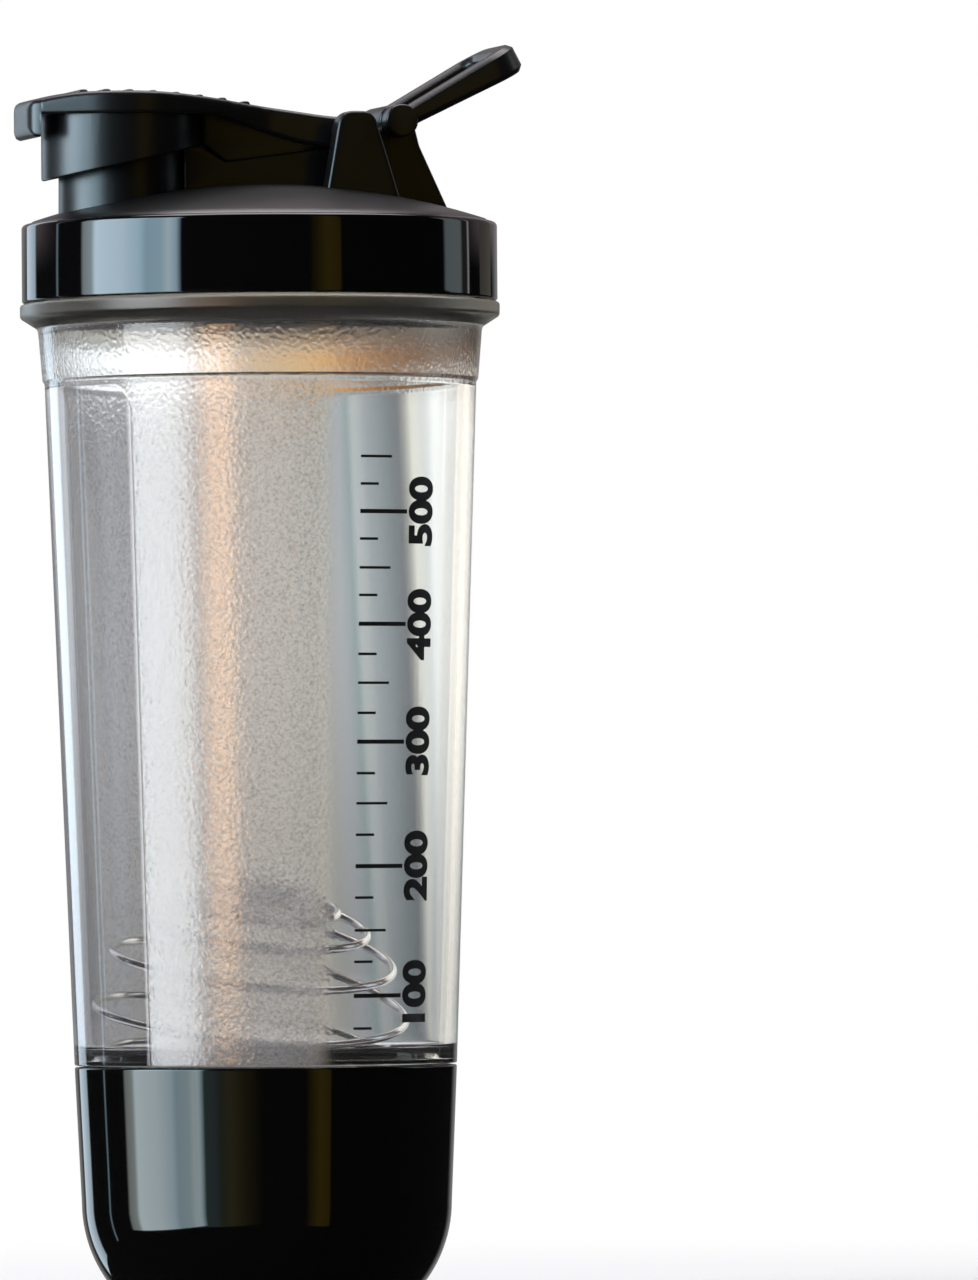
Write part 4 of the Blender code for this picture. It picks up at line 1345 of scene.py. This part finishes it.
def lights(body):
    """Tall soft lights to the left, narrow ones behind both sides, warm cards near the camera, one overhead."""
    tall = (-400.0, 1000.0)
    window = [
        (-860.0, (0.2, 0.3, 0.3)),
        (-800.0, (2.6, 3.1, 3.2)),
        (-640.0, (3.6, 4.6, 5.0)),
        (-560.0, (8.2, 10.6, 12.2)),
        (-180.0, (8.0, 10.3, 12.0)),
        (60.0, (6.0, 8.5, 10.3)),
        (150.0, (4.2, 6.2, 7.6)),
        (330.0, (4.6, 6.8, 8.0)),
        (420.0, (6.6, 8.5, 9.5)),
        (520.0, (4.6, 6.5, 7.8)),
        (590.0, (0.4, 0.6, 0.8)),
    ]
    low_window = [(place, (0.74 * red, 0.67 * green, 0.61 * blue)) for place, (red, green, blue) in window]
    window_left = card("window_left", -62.0, 1300.0, *tall, low_window, window, 40.0)
    window_left.visible_diffuse = False
    window_left.visible_transmission = False
    area_light("fill_left", -62.0, 1300.0, 1000.0, (4.2, 4.25, 4.3))
    rear = [(-190.0, (0.2, 0.2, 0.2)), (-150.0, (1.7, 2.0, 2.3)), (140.0, (1.5, 1.9, 2.2)), (190.0, (0.2, 0.2, 0.2))]
    card("rear_left", -145.0, 1300.0, *tall, rear)
    slit = [(-30.0, (0.0, 0.0, 0.0)), (0.0, (1.2, 1.7, 2.1)), (30.0, (0.0, 0.0, 0.0))]
    card("slit_left", -114.0, 1300.0, *tall, slit)
    right = [
        (-250.0, (0.1, 0.1, 0.1)),
        (-200.0, (1.0, 1.2, 1.25)),
        (60.0, (0.85, 1.0, 1.0)),
        (110.0, (0.1, 0.1, 0.1)),
        (200.0, (0.1, 0.1, 0.1)),
        (230.0, (1.8, 1.9, 1.8)),
        (260.0, (0.2, 0.2, 0.2)),
    ]
    card("rear_right", 110.0, 1300.0, 150.0, 1000.0, right)
    edge = [(-190.0, (0.2, 0.2, 0.2)), (-100.0, (0.22, 0.2, 0.17)), (100.0, (0.22, 0.2, 0.17)), (190.0, (0.2, 0.2, 0.2))]
    card("edge_right", 141.0, 1300.0, 150.0, 1000.0, edge)
    olive = [(-180.0, (0.04, 0.03, 0.0)), (20.0, (0.40, 0.27, 0.03)), (150.0, (0.30, 0.20, 0.02)), (180.0, (0.0, 0.0, 0.0))]
    card("warm_right", 32.0, 1300.0, *tall, olive)
    low_glow = [
        (-360.0, (0.70, 1.10, 1.30)),
        (-300.0, (0.30, 0.50, 0.50)),
        (-229.0, (0.25, 0.45, 0.40)),
        (-120.0, (0.30, 0.40, 0.45)),
        (0.0, (0.20, 0.25, 0.15)),
        (120.0, (0.33, 0.27, 0.12)),
        (356.0, (0.12, 0.10, 0.02)),
        (600.0, (0.0, 0.0, 0.0)),
    ]
    card("low_glow", -27.0, 1300.0, -400.0, 40.0, low_glow, see_through=True)
    peach = [(-280.0, (0.0, 0.0, 0.0)), (-90.0, (8.4, 4.6, 2.2)), (90.0, (8.4, 4.6, 2.2)), (260.0, (0.0, 0.0, 0.0))]
    warm = card("peach", -23.0, 1200.0, -140.0, 180.0, peach, see_through=True)
    warm.visible_diffuse = False
    warm.visible_transmission = False
    white = [
        (-300.0, (0.0, 0.0, 0.0)),
        (-250.0, (7.2, 7.7, 8.0)),
        (330.0, (7.0, 7.3, 7.5)),
        (480.0, (5.2, 5.1, 5.2)),
        (590.0, (1.0, 1.0, 1.0)),
    ]
    pale = card("strip_light", -62.0, 1200.0, *tall, white, see_through=True)
    pale.visible_diffuse = False
    pale.visible_transmission = False
    for state, cards in (("INCLUDE", (warm, pale)), ("EXCLUDE", (window_left,))):
        receivers = bpy.data.collections.new("body_light_" + state.lower())
        receivers.objects.link(body)
        receivers.collection_objects[0].light_linking.link_state = state
        for lit in cards:
            lit.light_linking.receiver_collection = receivers

    behind = [
        (-200.0, (0.62, 0.66, 0.70)),
        (-78.0, (0.62, 0.66, 0.70)),
        (-70.0, (0.40, 0.42, 0.45)),
        (-64.0, (0.26, 0.26, 0.285)),
        (-50.0, (0.27, 0.28, 0.31)),
        (-42.0, (0.34, 0.35, 0.39)),
        (-36.0, (0.46, 0.47, 0.50)),
        (-28.0, (0.50, 0.51, 0.52)),
        (-10.0, (0.52, 0.47, 0.42)),
        (4.0, (0.56, 0.51, 0.44)),
        (8.9, (0.60, 0.55, 0.47)),
        (13.2, (0.40, 0.41, 0.37)),
        (17.7, (0.40, 0.42, 0.44)),
        (20.3, (0.29, 0.36, 0.355)),
        (21.8, (0.45, 0.49, 0.48)),
        (22.9, (0.45, 0.48, 0.47)),
        (25.2, (0.33, 0.37, 0.38)),
        (32.0, (0.195, 0.23, 0.235)),
        (34.6, (0.19, 0.20, 0.21)),
        (37.0, (0.38, 0.39, 0.35)),
        (39.2, (0.80, 0.81, 0.71)),
        (44.6, (0.74, 0.78, 0.75)),
        (48.0, (1.00, 1.03, 0.98)),
        (85.0, (1.15, 1.12, 1.02)),
        (200.0, (1.10, 1.05, 0.90)),
    ]
    amber = [
        (-200.0, (0.60, 0.64, 0.66)),
        (-60.0, (0.80, 0.85, 0.88)),
        (-48.0, (1.30, 1.38, 1.40)),
        (-19.7, (1.20, 1.20, 1.18)),
        (-14.7, (0.99, 0.92, 0.85)),
        (-9.8, (0.74, 0.64, 0.57)),
        (-5.0, (0.62, 0.45, 0.29)),
        (4.2, (0.62, 0.42, 0.20)),
        (9.0, (0.72, 0.46, 0.18)),
        (13.7, (0.80, 0.46, 0.17)),
        (18.7, (0.62, 0.33, 0.10)),
        (23.8, (0.44, 0.20, 0.05)),
        (29.0, (0.30, 0.12, 0.03)),
        (40.0, (0.16, 0.08, 0.03)),
        (200.0, (0.10, 0.03, 0.0)),
    ]
    through = 1.45
    seen_through = card(
        "backdrop", 180.0, 150.0, -60.0, 330.0, mirrored(brighter(behind, through)), mirrored(brighter(amber, through)), 187.0,
        spread_per_mm=0.0025, dim_below=150.0,
    )
    seen_through.visible_diffuse = False
    seen_through.visible_glossy = False

    top = bpy.data.lights.new("overhead", "AREA")
    top.shape = "RECTANGLE"
    top.size = 1.0
    top.size_y = 1.0
    top.energy = 14.0
    top.color = (1.0, 0.96, 0.985)
    above = bpy.data.objects.new("overhead", top)
    bpy.context.scene.collection.objects.link(above)
    above.location = (0.1, 0.25, 1.3)
    above.rotation_euler = (-Vector(above.location)).to_track_quat("-Z", "Y").to_euler()
    above.visible_camera = False


def mirrored(stops):
    """The same stops counted from the other side, for a card seen from its far face."""
    return [(-place, colour) for place, colour in reversed(stops)]


def floor():
    """Pale floor that turns to plain white a little way out, so that it has no horizon."""
    obj = mesh_object(
        "studio_floor",
        [(-6000.0, -6000.0, 0.0), (6000.0, -6000.0, 0.0), (6000.0, 6000.0, 0.0), (-6000.0, 6000.0, 0.0)],
        [(0, 1, 2, 3)],
    )
    made, tree, shader, place = start_material("studio_floor")
    feed(tree, shader, Base_Color=(0.86, 0.86, 0.86, 1.0), Roughness=0.9)
    away = node(tree, "ShaderNodeVectorMath", {"operation": "LENGTH"}, _0=place).outputs["Value"]
    paths = node(tree, "ShaderNodeLightPath")
    shade = mix_colour(tree, paths.outputs["Is Camera Ray"], (0.20, 0.19, 0.19, 1.0), (1.0, 1.0, 1.0, 1.0))
    blank = node(tree, "ShaderNodeEmission", None, Color=shade, Strength=1.0)
    blend = node(tree, "ShaderNodeMixShader", None, _0=ramp(tree, away, 0.12, 0.5))
    tree.links.new(shader.outputs[0], blend.inputs[1])
    tree.links.new(blank.outputs[0], blend.inputs[2])
    tree.links.new(blend.outputs[0], tree.nodes["Material Output"].inputs["Surface"])
    obj.data.materials.append(made)
    obj.visible_glossy = False


def camera():
    """The photograph's view: far away, low, a little to the spout's side, with the bottle left of centre."""
    distance, eye_z = 2640.0, 84.0
    aim_z, aim_right = 128.5, 43.8
    angle = math.radians(VIEW_DEG)
    away = Vector((math.cos(angle), math.sin(angle), 0.0))
    right = Vector((-away.y, away.x, 0.0))
    data = bpy.data.cameras.new("photo_view")
    data.lens = 384.0
    data.sensor_width = 36.0
    data.clip_end = 50.0
    obj = bpy.data.objects.new("photo_view", data)
    bpy.context.scene.collection.objects.link(obj)
    obj.location = (away * distance + Vector((0.0, 0.0, eye_z))) * MM
    target = (right * aim_right + Vector((0.0, 0.0, aim_z))) * MM
    roll = Matrix.Rotation(math.radians(-0.47), 4, "Z")
    look = (target - obj.location).to_track_quat("-Z", "Y").to_matrix().to_4x4()
    obj.rotation_euler = (look @ roll).to_euler()
    bpy.context.scene.camera = obj


# ---------------------------------------------------------------- build


def build():
    black_lid = moulded_black("lid_black_plastic", gloss_below_z=COLLAR_TOP_Z + 0.1, roughness=0.36)
    black_satin = moulded_black("satin_black_plastic", roughness=0.32, base=(0.006, 0.006, 0.007))
    soft = silicone()
    pin_metal = steel("blackened_pin_steel", 0.28, tone=0.05, drawn_axis=1)
    body = bottle_body(clear_plastic())
    storage_cup(gloss_black("cup_black_plastic"))
    storage_seal_ring(soft)
    lid_gasket(soft)
    lid_shell(black_lid)
    flip_cap(black_satin)
    spout_seal_plug(soft)
    hinge_pin("cap_pin", CAP_PIN_LOW, CAP_PIN_HIGH, "lid", "cap_hinge_pin", pin_metal)
    hinge_pin("loop_pin", LOOP_PIN_LOW, LOOP_PIN_HIGH, "lid", "loop_hinge_pin", pin_metal)
    carry_loop(black_satin)
    whisk_ball(steel("whisk_steel", 0.07))
    measuring_scale(print_ink())
    world_shader()
    lights(body)
    floor()
    camera()
    view = bpy.context.scene.view_settings
    view.view_transform = "Standard"


build()
